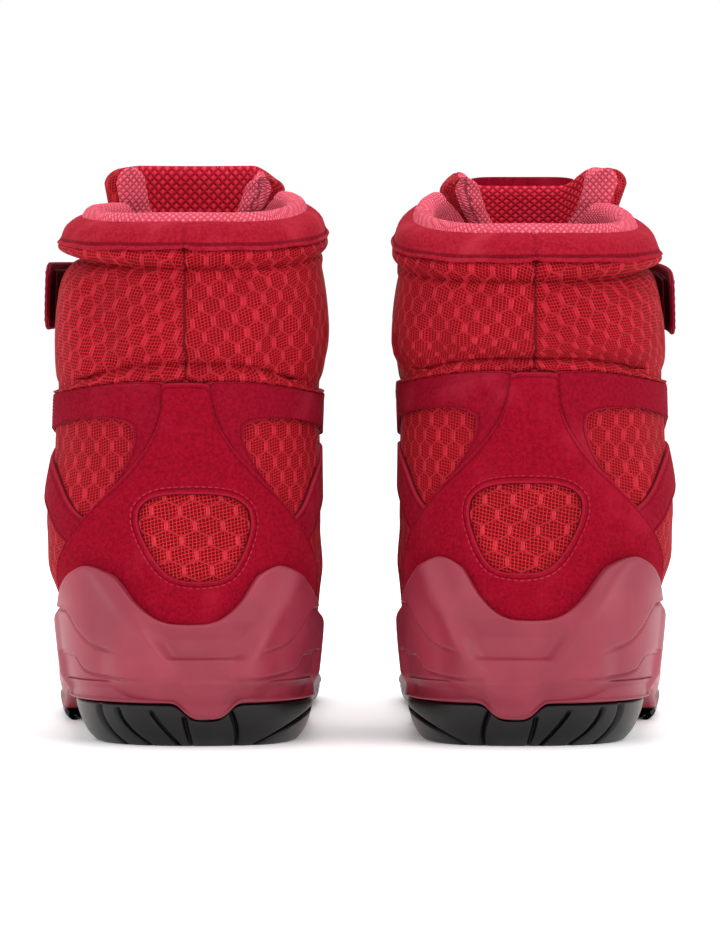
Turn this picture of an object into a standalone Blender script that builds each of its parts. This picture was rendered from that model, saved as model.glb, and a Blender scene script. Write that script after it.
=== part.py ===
"""A pair of padded boxing boots with laces and hook-and-loop ankle straps.

The pair stands on Z = 0 with its heels towards -Y, and the right boot is the left one mirrored
about X = 0. All lengths below are in millimetres; Boot.world turns them into metres.

Every piece of an upper is placed on one last-shaped surface. A place on it is (c, z, out): z is the
height above the floor, out is how far it stands out from the last, and c runs round the boot, from
0 at the heel's centre line over the outer (lateral) side to 1 at the toe and shin, and on over the
inner (medial) side to 2. A negative c is on the inner side too.
"""

import functools
import math

import bpy
import numpy as np
from mathutils import Vector

# Driving dimensions, in millimetres
BOOT_LENGTH = 300.0
PAIR_SPACING = 114.0  # between the two boots' centre lines
TOE_SPRING, SPRING_START = 10.0, 215.0  # how far the sole's tip lifts, and from which y on
OUTSOLE_HEEL, OUTSOLE_FOREFOOT = 15.0, 4.0  # thicknesses
ARCH = (103.0, 134.5)  # from which y to which the arch between the two outsoles runs
SHANK_WIDTH, SHANK_THICKNESS = 48.0, 2.2
BOARD_THICKNESS, SOCKLINER_THICKNESS = 1.6, 4.0
HEEL_SEAM = 0.30  # c of the seams between the heel and the quarters
QUARTER_HEIGHTS = (30, 44, 56, 67, 77, 80, 84, 92, 100, 108, 115)  # rows of facets in a quarter
COUNTER_REACH, COUNTER_TOP, COUNTER_DROP = 0.34, 74.0, 26.0  # the counter falls towards its ends
EYESTAY_WIDTH = 14.0
TOE_CAP_START, TOE_CAP_BASE, TOE_CAP_SIDE, TOE_CAP_RISE = 215.0, 20.0, 28.0, 15.0
COLLAR_SEAM = 122.0  # height at which the padded collar is sewn to the upper
COLLAR_HEIGHT, COLLAR_RISE = 178.0, 7.0  # of the rim at the heel, and its rise to the front corners
COLLAR_PADDING = 7.0
TONGUE_HEIGHT, TONGUE_SPLIT = 197.0, 167.0  # above the split the tongue's padded end is free
TONGUE_HALF_WIDTH = 26.0
TONGUE_BOW, TONGUE_PADDING = 13.0, 8.0  # of the free end: how far its sides sweep back
TONGUE_PATCH_HALF_WIDTH = 14.0
STRAP_LOW, STRAP_HIGH = 139.5, 162.5
STRAP_ROOT, STRAP_TIP = 2 - 0.70, 0.46  # c of the strap's sewn end and of its free end
STRAP_PATCH_INSET, STRAP_PATCH_THICKNESS = 1.5, 0.9  # of the hook and loop patches
EYELET_HEIGHTS = (88.0, 95.0, 102.0, 109.0, 116.0)
LACE_WIDTH, LACE_THICKNESS = 5.6, 1.2

# Layers of the upper: how far their outer faces stand out from the last, and their thicknesses
MESH_OUT, MESH_THICKNESS = 0.0, 1.4
SUEDE_OUT, SUEDE_THICKNESS = 2.4, 1.2
COUNTER_OUT, COUNTER_THICKNESS = -2.8, 1.6
LINING_OUT, LINING_THICKNESS = -5.2, 1.4
COLLAR_LINING_OUT = -10.4
CUP_INSIDE, CUP_OUTSIDE = 3.1, 5.0
STRAP_OUT, STRAP_THICKNESS = 5.0, 1.8
GAP = 0.4  # between pieces that touch on the real boot
SEAM_GAP = 0.8  # between the edges of two pieces of one layer, along the surface

COLOURS = {
    "suede": (0.42, 0.012, 0.03, 0.95),
    "mesh": (0.62, 0.02, 0.03, 0.8),
    "lining": (0.72, 0.10, 0.13, 0.85),
    "midsole": (0.45, 0.08, 0.11, 0.5),
    "rubber": (0.02, 0.02, 0.02, 0.6),
    "foam": (0.75, 0.72, 0.66, 0.9),
    "board": (0.55, 0.45, 0.32, 0.9),
    "shank": (0.08, 0.08, 0.09, 0.4),
    "webbing": (0.30, 0.01, 0.02, 0.8),
}  # red, green, blue, roughness


class Curve:
    """A smooth curve through a few (position, value) stations that never overshoots them."""

    def __init__(self, *stations):
        self.x, self.y = (np.array(v, float) for v in zip(*stations))
        step = np.diff(self.x)
        slope = np.diff(self.y) / step
        self.m = np.concatenate([slope[:1], np.zeros(len(step) - 1), slope[-1:]])
        for i in range(1, len(step)):
            if slope[i - 1] * slope[i] > 0:
                a, b = 2 * step[i] + step[i - 1], step[i] + 2 * step[i - 1]
                self.m[i] = (a + b) / (a / slope[i - 1] + b / slope[i])

    def __call__(self, at):
        at = np.clip(at, self.x[0], self.x[-1])
        i = np.clip(np.searchsorted(self.x, at) - 1, 0, len(self.x) - 2)
        h = self.x[i + 1] - self.x[i]
        t = (at - self.x[i]) / h
        rise = self.y[i + 1] - self.y[i]
        bend = h * t * (1 - t) * (self.m[i] * (1 - t) - self.m[i + 1] * t)
        return self.y[i] + bend + rise * t * t * (3 - 2 * t)


def smoothstep(low, high, at):
    t = np.clip((at - low) / (high - low), 0, 1)
    return t * t * (3 - 2 * t)


# The last: its side profile, and its half widths seen from behind and from above
FRONT = Curve(
    (12, 296), (30, 295.5), (40, 294), (48, 290), (54, 283), (58, 274), (62, 259), (66, 242),
    (71, 224), (77, 206), (86, 187), (97, 169), (110, 152), (124, 138), (140, 129), (158, 124),
    (180, 121), (200, 119),
)  # fmt: skip
BACK = Curve(
    (12, 8), (30, 5), (48, 4), (75, 7), (100, 12), (120, 14), (140, 12), (160, 12.5), (200, 17),
)  # fmt: skip
HEEL_WIDTH = {
    1: Curve((12, 39.5), (35, 42), (50, 43), (75, 45), (105, 44), (120, 44.5), (140, 46.5),
             (160, 46), (182, 43), (200, 41)),
    -1: Curve((12, 37), (35, 39.5), (50, 40.5), (75, 43), (105, 42.5), (120, 43), (140, 45),
              (160, 44.5), (182, 42), (200, 40)),
}  # fmt: skip
FOOT_WIDTH = {
    1: Curve((100, 45), (140, 46.5), (170, 48.5), (195, 49.5), (225, 48), (298, 44)),
    -1: Curve((100, 39), (130, 38), (160, 38.5), (200, 40), (235, 40), (298, 37)),
}
LAST_BASE, LAST_TOP = 12.0, 200.0
HEEL_TO_FOOT = (70, 150)  # between which y the heel's widths turn into the foot's
FOOT_TO_SHAFT = (70, 115)  # between which heights the foot's section turns into the ankle's
TOE_START, TOE_END, TOE_POWER, TOE_TURN = 218.0, 296.0, 2.3, 6.0
HEEL_ROUNDING, HEEL_POWER = 44.0, 2.2
FOOTBED = Curve((0, 22), (80, 21), (130, 17), (180, 14), (300, 14))  # the midsole's top over y
CUP_RIM = Curve(
    (0, 42), (0.03, 42.6), (0.06, 47.3), (0.09, 57.5), (0.122, 60.5), (0.158, 58), (0.195, 53.5),
    (0.25, 48), (0.32, 42), (0.4, 36), (0.5, 30), (0.6, 26), (0.75, 23), (1, 24),
)  # height of the midsole's rim, over c  # fmt: skip
THROAT = Curve((78, 1), (80, 8), (84, 13), (100, 14.5), (122, 15), (140, 16), (160, 18), (170, 22),
               (178, 28), (186, 36))  # half the gap that the tongue fills  # fmt: skip
VAMP_SEAM = Curve((14, 168), (50, 180), (78, 197))  # y of the seam, over z

RIDGE_HEIGHTS = np.linspace(LAST_BASE, LAST_TOP, 600)
RIDGE_PLACES = FRONT(RIDGE_HEIGHTS)
STEPS = 28  # facets from heel to toe along one side


def ridge_height(y):
    """How high the instep's ridge is at y; behind the shin it climbs out of reach."""
    behind = np.maximum(RIDGE_PLACES[-1] - y, 0)
    return np.interp(y, RIDGE_PLACES[::-1], RIDGE_HEIGHTS[::-1]) + 6 * behind


def half_width(side, y, z):
    """Half the width of the last at y and z, on the outer (1) or inner (-1) side."""
    back, front = BACK(z), FRONT(z)
    behind = np.clip(1 - (y - back) / HEEL_ROUNDING, 0, 1)
    heel_round = (1 - behind**HEEL_POWER) ** (1 / HEEL_POWER)
    toe = np.clip((y - TOE_START) / (TOE_END - TOE_START), 0, 1)
    into_foot = smoothstep(*HEEL_TO_FOOT, y)
    plan = HEEL_WIDTH[side](z) * (1 - into_foot) + FOOT_WIDTH[side](y) * into_foot
    climb = np.clip((z - LAST_BASE) / (ridge_height(y) - LAST_BASE + 1e-6), 0, 1)
    foot = plan * (1 - toe**TOE_POWER) ** (1 / TOE_POWER) * np.sqrt(1 - climb**2)
    rounding = 60 + 30 * smoothstep(125, 90, z)
    ahead = np.clip((y - (front - rounding)) / rounding, 0, 1)
    shaft = HEEL_WIDTH[side](z) * np.sqrt(1 - ahead**2)
    into_shaft = smoothstep(*FOOT_TO_SHAFT, z)
    return heel_round * (foot * (1 - into_shaft) + shaft * into_shaft)


def wrapped(c):
    return (c + 1) % 2 - 1


def on_last(c, z):
    """The point of the last at (c, z), in the boot's own frame: x is positive on the outer side."""
    c = wrapped(c)
    side = 1 if c >= 0 else -1
    share = (1 - math.cos(math.pi * c)) / 2
    y = BACK(z) + share * (FRONT(z) - BACK(z))
    turn = TOE_TURN * smoothstep(170, TOE_END, y)
    return np.array([side * half_width(side, y, z) - turn, y, z], float)


def place(c, z, out):
    """The point at (c, z) that stands out from the last by that distance."""
    around = on_last(c + 0.004, z) - on_last(c - 0.004, z)
    up = on_last(c, z + 0.4) - on_last(c, z - 0.4)
    normal = np.cross(around, up)
    return on_last(c, z) + normal * (out / np.linalg.norm(normal))


@functools.cache
def slice_of(side, z):
    """Places u from heel to front along one side at z: (u, distances from the heel, points)."""
    u = np.linspace(0, 1, 161)
    points = np.array([on_last(side * k, z) for k in u])
    steps = np.linalg.norm(np.diff(points, axis=0), axis=1)
    return u, np.concatenate([[0], np.cumsum(steps)]), points


def from_heel(arc, z):
    """c at that distance along the surface from the heel's centre line; below 0 inwards."""
    side = 1 if arc >= 0 else -1
    u, lengths, _ = slice_of(side, round(float(z), 2))
    return side * float(np.interp(abs(arc), lengths, u))


def from_front(arc, z):
    """c at that distance along the surface from the shin's centre line; below 0 inwards."""
    side = 1 if arc >= 0 else -1
    u, lengths, _ = slice_of(side, round(float(z), 2))
    at = float(np.interp(lengths[-1] - abs(arc), lengths, u))
    return at if side > 0 else 2 - at


def at_y(side, y, z):
    """c on one side of the last at y."""
    share = float(np.clip((y - BACK(z)) / (FRONT(z) - BACK(z)), 0, 1))
    return side * math.acos(1 - 2 * share) / math.pi


def throat_edge(side, z, back=0.0):
    """c of the throat's edge at z, or of the place that distance behind it."""
    _, lengths, points = slice_of(side, round(float(z), 2))
    across = np.abs(points[80:, 0] - points[-1, 0])
    arc = lengths[-1] - np.interp(THROAT(z), across[::-1], lengths[80:][::-1])
    return from_front(side * (arc + back), z)


def underside(y):
    """Height of the outsoles' tops, and of a straight slope between them under the arch."""
    return float(np.interp(y, ARCH, (OUTSOLE_HEEL, OUTSOLE_FOREFOOT)))


def upper_base(c):
    """Height of the upper's lower edge, just above the lasting board."""
    return float(FOOTBED(on_last(c, 20)[1])) + BOARD_THICKNESS + 3 * GAP


def rim(c):
    """Height of the collar's rim at c."""
    return COLLAR_HEIGHT + COLLAR_RISE * float(smoothstep(0.1, 0.7, abs(wrapped(c))))


# Ways of making a piece: each returns its points, in millimetres, and its faces


def quads(rows, columns, closed=False):
    """Faces of a grid whose points come row by row; closed joins each row's two ends."""
    last = columns if closed else columns - 1
    return [
        (r * columns + k, r * columns + (k + 1) % columns,
         (r + 1) * columns + (k + 1) % columns, (r + 1) * columns + k)
        for r in range(rows - 1)
        for k in range(last)
    ]  # fmt: skip


def sheet(grid, closed=False):
    """An open sheet through rows of places; Solidify gives it its thickness."""
    points = [place(*spot) for row in grid for spot in row]
    return points, quads(len(grid), len(grid[0]), closed)


def between(low, high, rows, out):
    """Rows of places from one line of (c, z) to another that has as many."""
    low, high = np.array(low, float), np.array(high, float)
    shares = np.linspace(0, 1, rows + 1)
    return [[(c, z, out) for c, z in low + (high - low) * share] for share in shares]


def level(first, last, columns, height, out):
    """One row of places from c first to c last; height and out are numbers or depend on c."""
    return [
        (c, height(c) if callable(height) else height, out)
        for c in np.linspace(first, last, columns + 1)
    ]


def loft(sections):
    """A closed solid through cross-sections that all have the same number of points."""
    size = len(sections[0])
    points = [p for section in sections for p in section]
    start = (len(sections) - 1) * size
    ends = [tuple(reversed(range(size))), tuple(range(start, start + size))]
    return points, quads(len(sections), size, True) + ends


def sole_places(first, last):
    """c round a sole from one step to another, outer side first."""
    outward = [k / STEPS for k in range(first, last + 1)]
    return outward + [-u for u in reversed(outward) if 0 < u < 1]


def sole_ring(first, last, height, out):
    """Points round a sole from one step to another; height is a number or depends on y."""
    ring = []
    for c in sole_places(first, last):
        x, y, _ = place(c, 20, out)
        ring.append(np.array([x, y, height(y) if callable(height) else height]))
    return ring


def sole_solid(rings, from_heel_point):
    """A closed solid from sole rings, lowest outer one first; its ends close rung by rung."""
    size = len(rings[0])
    rungs, outer, inner = [], 0, size - 1
    if from_heel_point:
        rungs.append((0, 1, size - 1))
        outer = 1
    while inner - outer > 2:
        rungs.append((outer, outer + 1, inner - 1, inner))
        outer, inner = outer + 1, inner - 1
    if inner - outer == 2:
        rungs.append((outer, outer + 1, inner))
    start = (len(rings) - 1) * size
    below = [tuple(reversed(rung)) for rung in rungs]
    above = [tuple(start + k for k in rung) for rung in rungs]
    points = [p for ring in rings for p in ring]
    return points, quads(len(rings), size, True) + below + above


@functools.cache
def material_named(name):
    red, green, blue, roughness = COLOURS[name]
    made = bpy.data.materials.new(name)
    made.use_nodes = True
    shader = made.node_tree.nodes["Principled BSDF"]
    shader.inputs["Base Color"].default_value = (red, green, blue, 1)
    shader.inputs["Roughness"].default_value = roughness
    shader.inputs["Metallic"].default_value = 0
    return made


class Boot:
    """One boot of the pair: side is -1 for the left boot and 1 for the right one."""

    def __init__(self, name, side):
        self.name, self.side = name, side
        self.body = self.empty("boot", None)
        self.strap_hinge = self.empty("strap_hinge", STRAP_HINGE)
        self.tongue_hinge = self.empty("tongue_hinge", TONGUE_HINGE)

    def world(self, point):
        """A point of the boot's own frame, in millimetres, as metres in the pair's frame."""
        x, y, z = (float(v) for v in point)
        lift = max(0.0, y - SPRING_START) / (BOOT_LENGTH - SPRING_START)
        across = self.side * (PAIR_SPACING / 2 + x)
        return Vector((across, y - BOOT_LENGTH / 2, z + TOE_SPRING * lift**2)) / 1000

    def empty(self, name, point):
        marker = bpy.data.objects.new(f"{self.name}_{name}", None)
        marker.location = Vector() if point is None else self.world(point)
        bpy.context.scene.collection.objects.link(marker)
        return marker

    def add(self, name, shape, material, thickness=None, parent=None):
        """Adds one piece; thickness is for a sheet, and goes inwards."""
        points, faces = shape
        parent = parent or self.body
        if self.side < 0:
            faces = [tuple(reversed(face)) for face in faces]
        mesh = bpy.data.meshes.new(f"{self.name}_{name}")
        mesh.from_pydata([self.world(p) - parent.location for p in points], [], faces)
        mesh.materials.append(material_named(material))
        piece = bpy.data.objects.new(f"{self.name}_{name}", mesh)
        piece.parent = parent
        bpy.context.scene.collection.objects.link(piece)
        if thickness:
            shell = piece.modifiers.new("thickness", "SOLIDIFY")
            shell.thickness = thickness / 1000
            shell.offset = -1


# The sole


def steps_to(y):
    """The whole number of steps from the heel that comes nearest to y."""
    return round(at_y(1, y, 20) * STEPS)


def add_outsoles(boot):
    profile = ((0, -7), (5, -2.5), (OUTSOLE_HEEL, -0.6))
    heel = [sole_ring(0, steps_to(ARCH[0]), height, out) for height, out in profile]
    boot.add("outsole_heel", sole_solid(heel, True), "rubber")
    profile = ((0, 0.5), (1.5, 2.2), (OUTSOLE_FOREFOOT, 2.6))
    forefoot = [sole_ring(steps_to(ARCH[1]), STEPS, height, out) for height, out in profile]
    boot.add("outsole_forefoot", sole_solid(forefoot, False), "rubber")


def add_shank(boot):
    """The stiff plate under the arch, between the two outsoles."""
    half = SHANK_WIDTH / 2
    sections = []
    for y in np.linspace(ARCH[0] + 3, ARCH[1] - 3, 5):
        top = underside(y) - GAP
        low = top - SHANK_THICKNESS
        corners = ((-half, top), (half, top), (half, low), (-half, low))
        sections.append([np.array([x, y, z]) for x, z in corners])
    boot.add("shank_plate", loft(sections), "shank")


def add_midsole(boot):
    def wall(share, out):
        """The cup's wall at a share of the way from the footbed's height to the rim."""
        ring = []
        for c in sole_places(0, STEPS):
            low, high = float(FOOTBED(on_last(c, 20)[1])), CUP_RIM(abs(c))
            ring.append(place(c, low + (high - low) * share, out))
        return ring

    bottom = sole_ring(0, STEPS, lambda y: underside(y) + GAP, 1.2)
    flare = sole_ring(0, STEPS, lambda y: underside(y) + 6, CUP_OUTSIDE - 1)
    outside = [wall(0.45, CUP_OUTSIDE), wall(1, CUP_OUTSIDE - 0.2)]
    inside = [wall(1, CUP_INSIDE), wall(0.5, CUP_INSIDE)]
    footbed = sole_ring(0, STEPS, FOOTBED, CUP_INSIDE)
    boot.add("midsole", sole_solid([bottom, flare, *outside, *inside, footbed], True), "midsole")


def add_insoles(boot):
    def plate(low, high, out):
        rings = [sole_ring(0, STEPS, lambda y: FOOTBED(y) + z, out) for z in (low, high)]
        return sole_solid(rings, True)

    board_top = GAP + BOARD_THICKNESS
    boot.add("lasting_board", plate(GAP, board_top, -0.8), "board")
    inside = LINING_OUT - LINING_THICKNESS - 2 * GAP
    top = board_top + SOCKLINER_THICKNESS
    boot.add("sockliner", plate(board_top + GAP, top, inside), "lining")


# The upper's base layers


def seam_or_throat(side, z, back=0.0):
    """c of a quarter's front edge: the vamp's seam low down, and the throat above it."""
    if z < 78.5:
        return at_y(side, VAMP_SEAM(z) - back, z) % 2
    return throat_edge(side, z, back)


def add_heel_layers(boot):
    heights = (0, 0.3, 0.55, 0.8, 1)
    last = HEEL_SEAM - 0.004
    rows = []
    for share in heights:
        def height(c, share=share):
            return upper_base(c) + (COLLAR_SEAM - GAP - upper_base(c)) * share
        rows.append(level(-last, last, 16, height, MESH_OUT))
    boot.add("heel_mesh", sheet(rows), "mesh", MESH_THICKNESS)
    rows = []
    for share in (0, 0.3, 0.6, 1):
        def height(c, share=share):
            top = COUNTER_TOP - COUNTER_DROP * float(smoothstep(0.1, COUNTER_REACH, abs(c)))
            return upper_base(c) + (top - upper_base(c)) * share
        rows.append(level(-COUNTER_REACH, COUNTER_REACH, 16, height, COUNTER_OUT))
    boot.add("heel_counter", sheet(rows), "board", COUNTER_THICKNESS)


def add_quarters(boot):
    for side, name in ((1, "lateral"), (-1, "medial")):
        rows = []
        start = at_y(side, VAMP_SEAM(20) - SEAM_GAP / 2, 20) % 2
        first = HEEL_SEAM if side > 0 else 2 - HEEL_SEAM
        rows.append(level(first, start, 11, upper_base, MESH_OUT))
        for z in (*QUARTER_HEIGHTS, COLLAR_SEAM - GAP):
            front = seam_or_throat(side, z, SEAM_GAP / 2)
            rows.append(level(first, front, 11, z, MESH_OUT))
        if side < 0:
            rows = [row[::-1] for row in rows]
        boot.add(f"quarter_mesh_{name}", sheet(rows), "mesh", MESH_THICKNESS)


def add_vamp(boot):
    rows = []
    for z in (0, 30, 40, 48, 54, 58, 62, 67, 72, 77):
        start, end = (at_y(side, VAMP_SEAM(z or 20) + SEAM_GAP / 2, z or 20) % 2 for side in (1, -1))
        rows.append(level(start, end, 24, z or upper_base, MESH_OUT))
    boot.add("vamp_mesh", sheet(rows), "mesh", MESH_THICKNESS)


def add_lining(boot):
    """The lining rises from the footbed over the padding and rolls over the rim."""
    columns = 30
    reach = at_y(1, VAMP_SEAM(20) - 6, 20), at_y(-1, VAMP_SEAM(20) - 6, 20)
    rows = [level(reach[1], reach[0], columns, upper_base, LINING_OUT)]
    for z in (44, 62, 77, 92, 106, 114, 122, 130, 150):
        out = LINING_OUT + (COLLAR_LINING_OUT - LINING_OUT) * float(smoothstep(106, 130, z))
        outer, inner = (seam_or_throat(side, z, 3) for side in (1, -1))
        rows.append(level(inner - 2, outer, columns, z, out))
    for below, out in ((14, -10.4), (5, -10.4), (1.2, -8.6), (0, -6), (0.8, -3.6), (2.4, -2.6)):
        outer, inner = (throat_edge(side, rim(0.9) - below, 2) for side in (1, -1))
        rows.append(level(inner - 2, outer, columns, lambda c: rim(c) - below, out))
    boot.add("lining", sheet(rows), "lining", LINING_THICKNESS)


# The padded collar


def add_collar(boot):
    columns = 32

    def row(share, low, below_rim, back, out):
        """A row round the collar, at a share of the way from low to a line below the rim."""
        z = low + (rim(1) - below_rim - low) * share
        first, last = throat_edge(-1, z, back) - 2, throat_edge(1, z, back)
        spots = []
        for c in np.linspace(first, last, columns + 1):
            height = low + (rim(c) - below_rim - low) * share
            spots.append((c, height, out(c) if callable(out) else out))
        return spots

    cover = []
    for share in (0, 0.2, 0.45, 0.75, 1):
        swell = 2.2 * math.sin(math.pi * share) ** 2
        edge = COLLAR_SEAM + GAP

        def padded(c, swell=swell):
            return MESH_OUT + swell * float(smoothstep(0.4, 0.2, abs(c)))

        cover.append(row(share, edge, 5, 0.5, padded))
    boot.add("collar_cover", sheet(cover), "mesh", MESH_THICKNESS)
    inside_cover = MESH_OUT - MESH_THICKNESS - 2.5 * GAP
    foam = [row(share, 132, 6.5, 3, inside_cover) for share in (0, 0.35, 0.7, 1)]
    boot.add("collar_foam", sheet(foam), "foam", COLLAR_PADDING)
    binding = []
    for below, out in ((11.5, 2.4), (8, 2.2), (2.8, 1.8)):
        binding.append(row(1, edge, below, 0.5, out))
    boot.add("collar_binding", sheet(binding), "suede", SUEDE_THICKNESS)


# The tongue


def tongue_section(z):
    """A section across the tongue at z: a crown that fills the throat between two thin edges."""
    deeper = float(smoothstep(104, 126, z))
    edge, inside = -7.4 - 5.4 * deeper, -12.5 - 6 * deeper
    crown = edge + (-3.2 - edge) * float(smoothstep(76, 82, z))
    half = TONGUE_HALF_WIDTH - 10 * float(smoothstep(92, 80, z))
    shoulder = max(float(THROAT(z)) - 1.2, 5)
    outside = ((half, edge), (shoulder, edge), (shoulder - 3.5, crown), (0, crown))
    outside = [*outside, *((-arc, out) for arc, out in reversed(outside[:-1]))]
    within = [(arc, inside) for arc in np.linspace(-half, half, 5)]
    return [place(from_front(arc, z), z, out) for arc, out in outside + within]


# The tongue's free end, as (height above the split, half width)
TONGUE_FAN = ((0, 15.5), (6, 18.5), (12, 23.5), (18, 30), (25, 33), (TONGUE_HEIGHT - TONGUE_SPLIT, 30))


def tongue_front(share, above, half):
    """y of the free end's front face at a share of its half width."""
    lean = 3.0 * above / TONGUE_FAN[-1][0]
    return TONGUE_HINGE[1] - 0.3 + lean - TONGUE_BOW * (share * half / TONGUE_FAN[-2][1]) ** 2


def add_tongue(boot):
    heights = (76, 81, 87, 96, 106, 116, 126, 136, 146, 156, TONGUE_SPLIT - GAP)
    boot.add("tongue", loft([tongue_section(z) for z in heights]), "lining")
    sections = []
    for above, half in TONGUE_FAN:
        front = [(share, 0.0) for share in (1, 0.66, 0.33, 0, -0.33, -0.66, -1)]
        behind = [(share, TONGUE_PADDING) for share in (-0.94, -0.5, 0, 0.5, 0.94)]
        thinner = 0.55 if above == TONGUE_FAN[-1][0] else 1.0
        section = []
        for share, back in front + behind:
            y = tongue_front(share, above, half) - back * thinner - (1 - thinner) * 3
            section.append(np.array([TONGUE_HINGE[0] + share * half, y, TONGUE_SPLIT + above]))
        sections.append(section)
    boot.add("tongue_top", loft(sections), "lining", parent=boot.tongue_hinge)
    points = []
    heights = (5, 14, 22, TONGUE_HEIGHT - TONGUE_SPLIT + 1.5)
    for above in heights:
        for x in np.linspace(TONGUE_PATCH_HALF_WIDTH, -TONGUE_PATCH_HALF_WIDTH, 5):
            half = float(np.interp(above, *zip(*TONGUE_FAN)))
            y = tongue_front(x / half, min(above, TONGUE_FAN[-1][0]), half)
            points.append(np.array([TONGUE_HINGE[0] + x, y + 2, TONGUE_SPLIT + above]))
    patch = points, quads(len(heights), 5)
    boot.add("tongue_patch", patch, "suede", SUEDE_THICKNESS, boot.tongue_hinge)


# The suede overlays

# Half outlines as (distance from the heel's centre line, height)
HEEL_OVERLAY = ((7.5, 121), (9, 112), (14, 101), (22, 92), (33, 83.5), (45, 74), (53, 63), (57, 52),
                (46, 54), (34, 53), (22, 43), (11, 38))  # fmt: skip
HEEL_WINDOW = ((5, 86), (9, 85.7), (12.5, 84.8), (15.5, 83), (17.7, 80.5), (18.3, 77), (17.8, 72.5),
               (16, 67.5), (13.5, 63), (10.5, 59), (7, 56), (3.5, 54.7))  # fmt: skip


def add_heel_overlay(boot):
    def loop(half, top, bottom):
        right = [(0, top), *half, (0, bottom)]
        left = [(-arc, z) for arc, z in reversed(half)]
        return [(from_heel(arc, z), z) for arc, z in right + left]

    window = loop(HEEL_WINDOW, 86, 54.5)
    outline = loop(HEEL_OVERLAY, 121, 37)
    rows = between(window, outline, 3, SUEDE_OUT)
    boot.add("heel_overlay", sheet(rows, closed=True), "suede", SUEDE_THICKNESS)


# The band's two edges, from the ankle back to the heel, and down beside the heel overlay
BAND_UPPER = ((58, 120.5), (48, 120.5), (38, 120.5), (28, 120.5), (18, 120.5), (9.5, 119.5),
              (12, 110), (17.5, 99.5), (25, 91.5), (34, 84.4))  # fmt: skip
BAND_LOWER = ((58, 106), (50, 107), (42, 107.5), (35, 107), (30, 105), (28, 101.5), (28.3, 97),
              (30.5, 91.5), (35, 86), (42.5, 79))  # fmt: skip
# The side strap's two edges: (distance from the heel's centre line, height), and then heights
STRAP_EDGES = ((47, 74, 97, 101), (55.3, 62.5, 84, 87))


def add_bands(boot):
    """The ankle band and the slanting side strap on each side, up to the eyestay."""
    for side, name in ((1, "lateral"), (-1, "medial")):
        back = EYESTAY_WIDTH + 2 * SEAM_GAP

        def beside_heel(line, side=side):
            return [(from_heel(side * arc, z) % 2, z) for arc, z in line]

        edges = []
        for front_height, line in ((120.5, BAND_UPPER), (104, BAND_LOWER)):
            behind = beside_heel(line)
            start = (throat_edge(side, front_height, back), front_height)
            forward = np.linspace(start, behind[0], 13)[:-1]
            edges.append([*(tuple(spot) for spot in forward), *behind])
        add_side_piece(boot, f"ankle_band_{name}", side, edges)
        edges = []
        for arc, heel, ankle, eyestay in STRAP_EDGES:
            halfway = (heel + ankle) / 2
            line = beside_heel([(arc, heel), (72, halfway)])
            line += [(at_y(side, 95, ankle) % 2, ankle), (throat_edge(side, eyestay, back), eyestay)]
            along = [Curve(*enumerate(values))(np.linspace(3, 0, 15)) for values in zip(*line)]
            edges.append(list(zip(*along)))
        add_side_piece(boot, f"side_strap_{name}", side, edges)


def add_side_piece(boot, name, side, edges):
    """A piece between its upper and lower edges, which run from the throat to the heel."""
    upper, lower = edges if side > 0 else edges[::-1]
    boot.add(name, sheet(between(upper, lower, 2, SUEDE_OUT)), "suede", SUEDE_THICKNESS)


# The eyestay's edges under the throat, as (distance from the instep's centre line, height)
EYESTAY_BOTTOM = (((9, 80.5), (22, 77.5)), ((6, 79.3), (16, 74)), ((3, 78.7), (8, 71.3)))


def add_eyestay(boot):
    edges = []
    for side in (1, -1):
        edge = []
        for z in (120.5, 114, 107, 100, 94, 89, 85):
            edge.append(((throat_edge(side, z, 0.5), z), (throat_edge(side, z, EYESTAY_WIDTH), z)))
        for spots in EYESTAY_BOTTOM:
            edge.append([(from_front(side * arc, z), z) for arc, z in spots])
        edges.append(edge)
    bottom = ((1, 78.5), (1, 70.4))
    inside, outside = zip(*edges[0], bottom, *reversed(edges[1]))
    boot.add("eyestay", sheet(between(outside, inside, 2, SUEDE_OUT)), "suede", SUEDE_THICKNESS)


def add_toe_overlay(boot):
    start, end = (at_y(side, TOE_CAP_START, TOE_CAP_BASE) % 2 for side in (1, -1))
    rows = []
    for share in (0, 0.5, 1):
        def height(c, share=share):
            top = TOE_CAP_SIDE + TOE_CAP_RISE * float(smoothstep(0.25, 0.0, abs(1 - c)))
            return TOE_CAP_BASE + (top - TOE_CAP_BASE) * share
        rows.append(level(start, end, 20, height, SUEDE_OUT))
    boot.add("toe_overlay", sheet(rows), "suede", SUEDE_THICKNESS)


# The lace and the ankle strap


def mitres(route, half):
    """The vector from each route point to the lace's edge, turned halfway at each corner."""
    steps = np.diff(np.array(route), axis=0)
    steps /= np.linalg.norm(steps, axis=1)[:, None]
    across = np.stack([-steps[:, 1], steps[:, 0]], axis=1)
    before, after = np.vstack([across[:1], across]), np.vstack([across, across[-1:]])
    turned = before + after
    return turned * (2 * half / np.sum(turned**2, axis=1))[:, None]


def add_lace(boot):
    """A flat lace that crosses the throat at each pair of eyelets and climbs between them."""
    route, depths = [], []
    for k, z in enumerate(EYELET_HEIGHTS):
        gap = float(THROAT(z))
        bar = [(gap + 7, 5.4), (gap, 5.4), (0, 3.4), (-gap, 5.4), (-gap - 7, 5.4)]
        for arc, out in bar if k % 2 == 0 else bar[::-1]:
            route.append((arc, z))
            depths.append(out)
    sections = []
    for spot, edge, out in zip(np.array(route), mitres(route, LACE_WIDTH / 2), depths):
        corners = ((-1, 0), (1, 0), (1, LACE_THICKNESS), (-1, LACE_THICKNESS))
        section = []
        for side, depth in corners:
            arc, z = spot + side * edge
            section.append(place(from_front(arc, z), z, out - depth))
        sections.append(section)
    boot.add("lace", loft(sections), "webbing")


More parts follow.
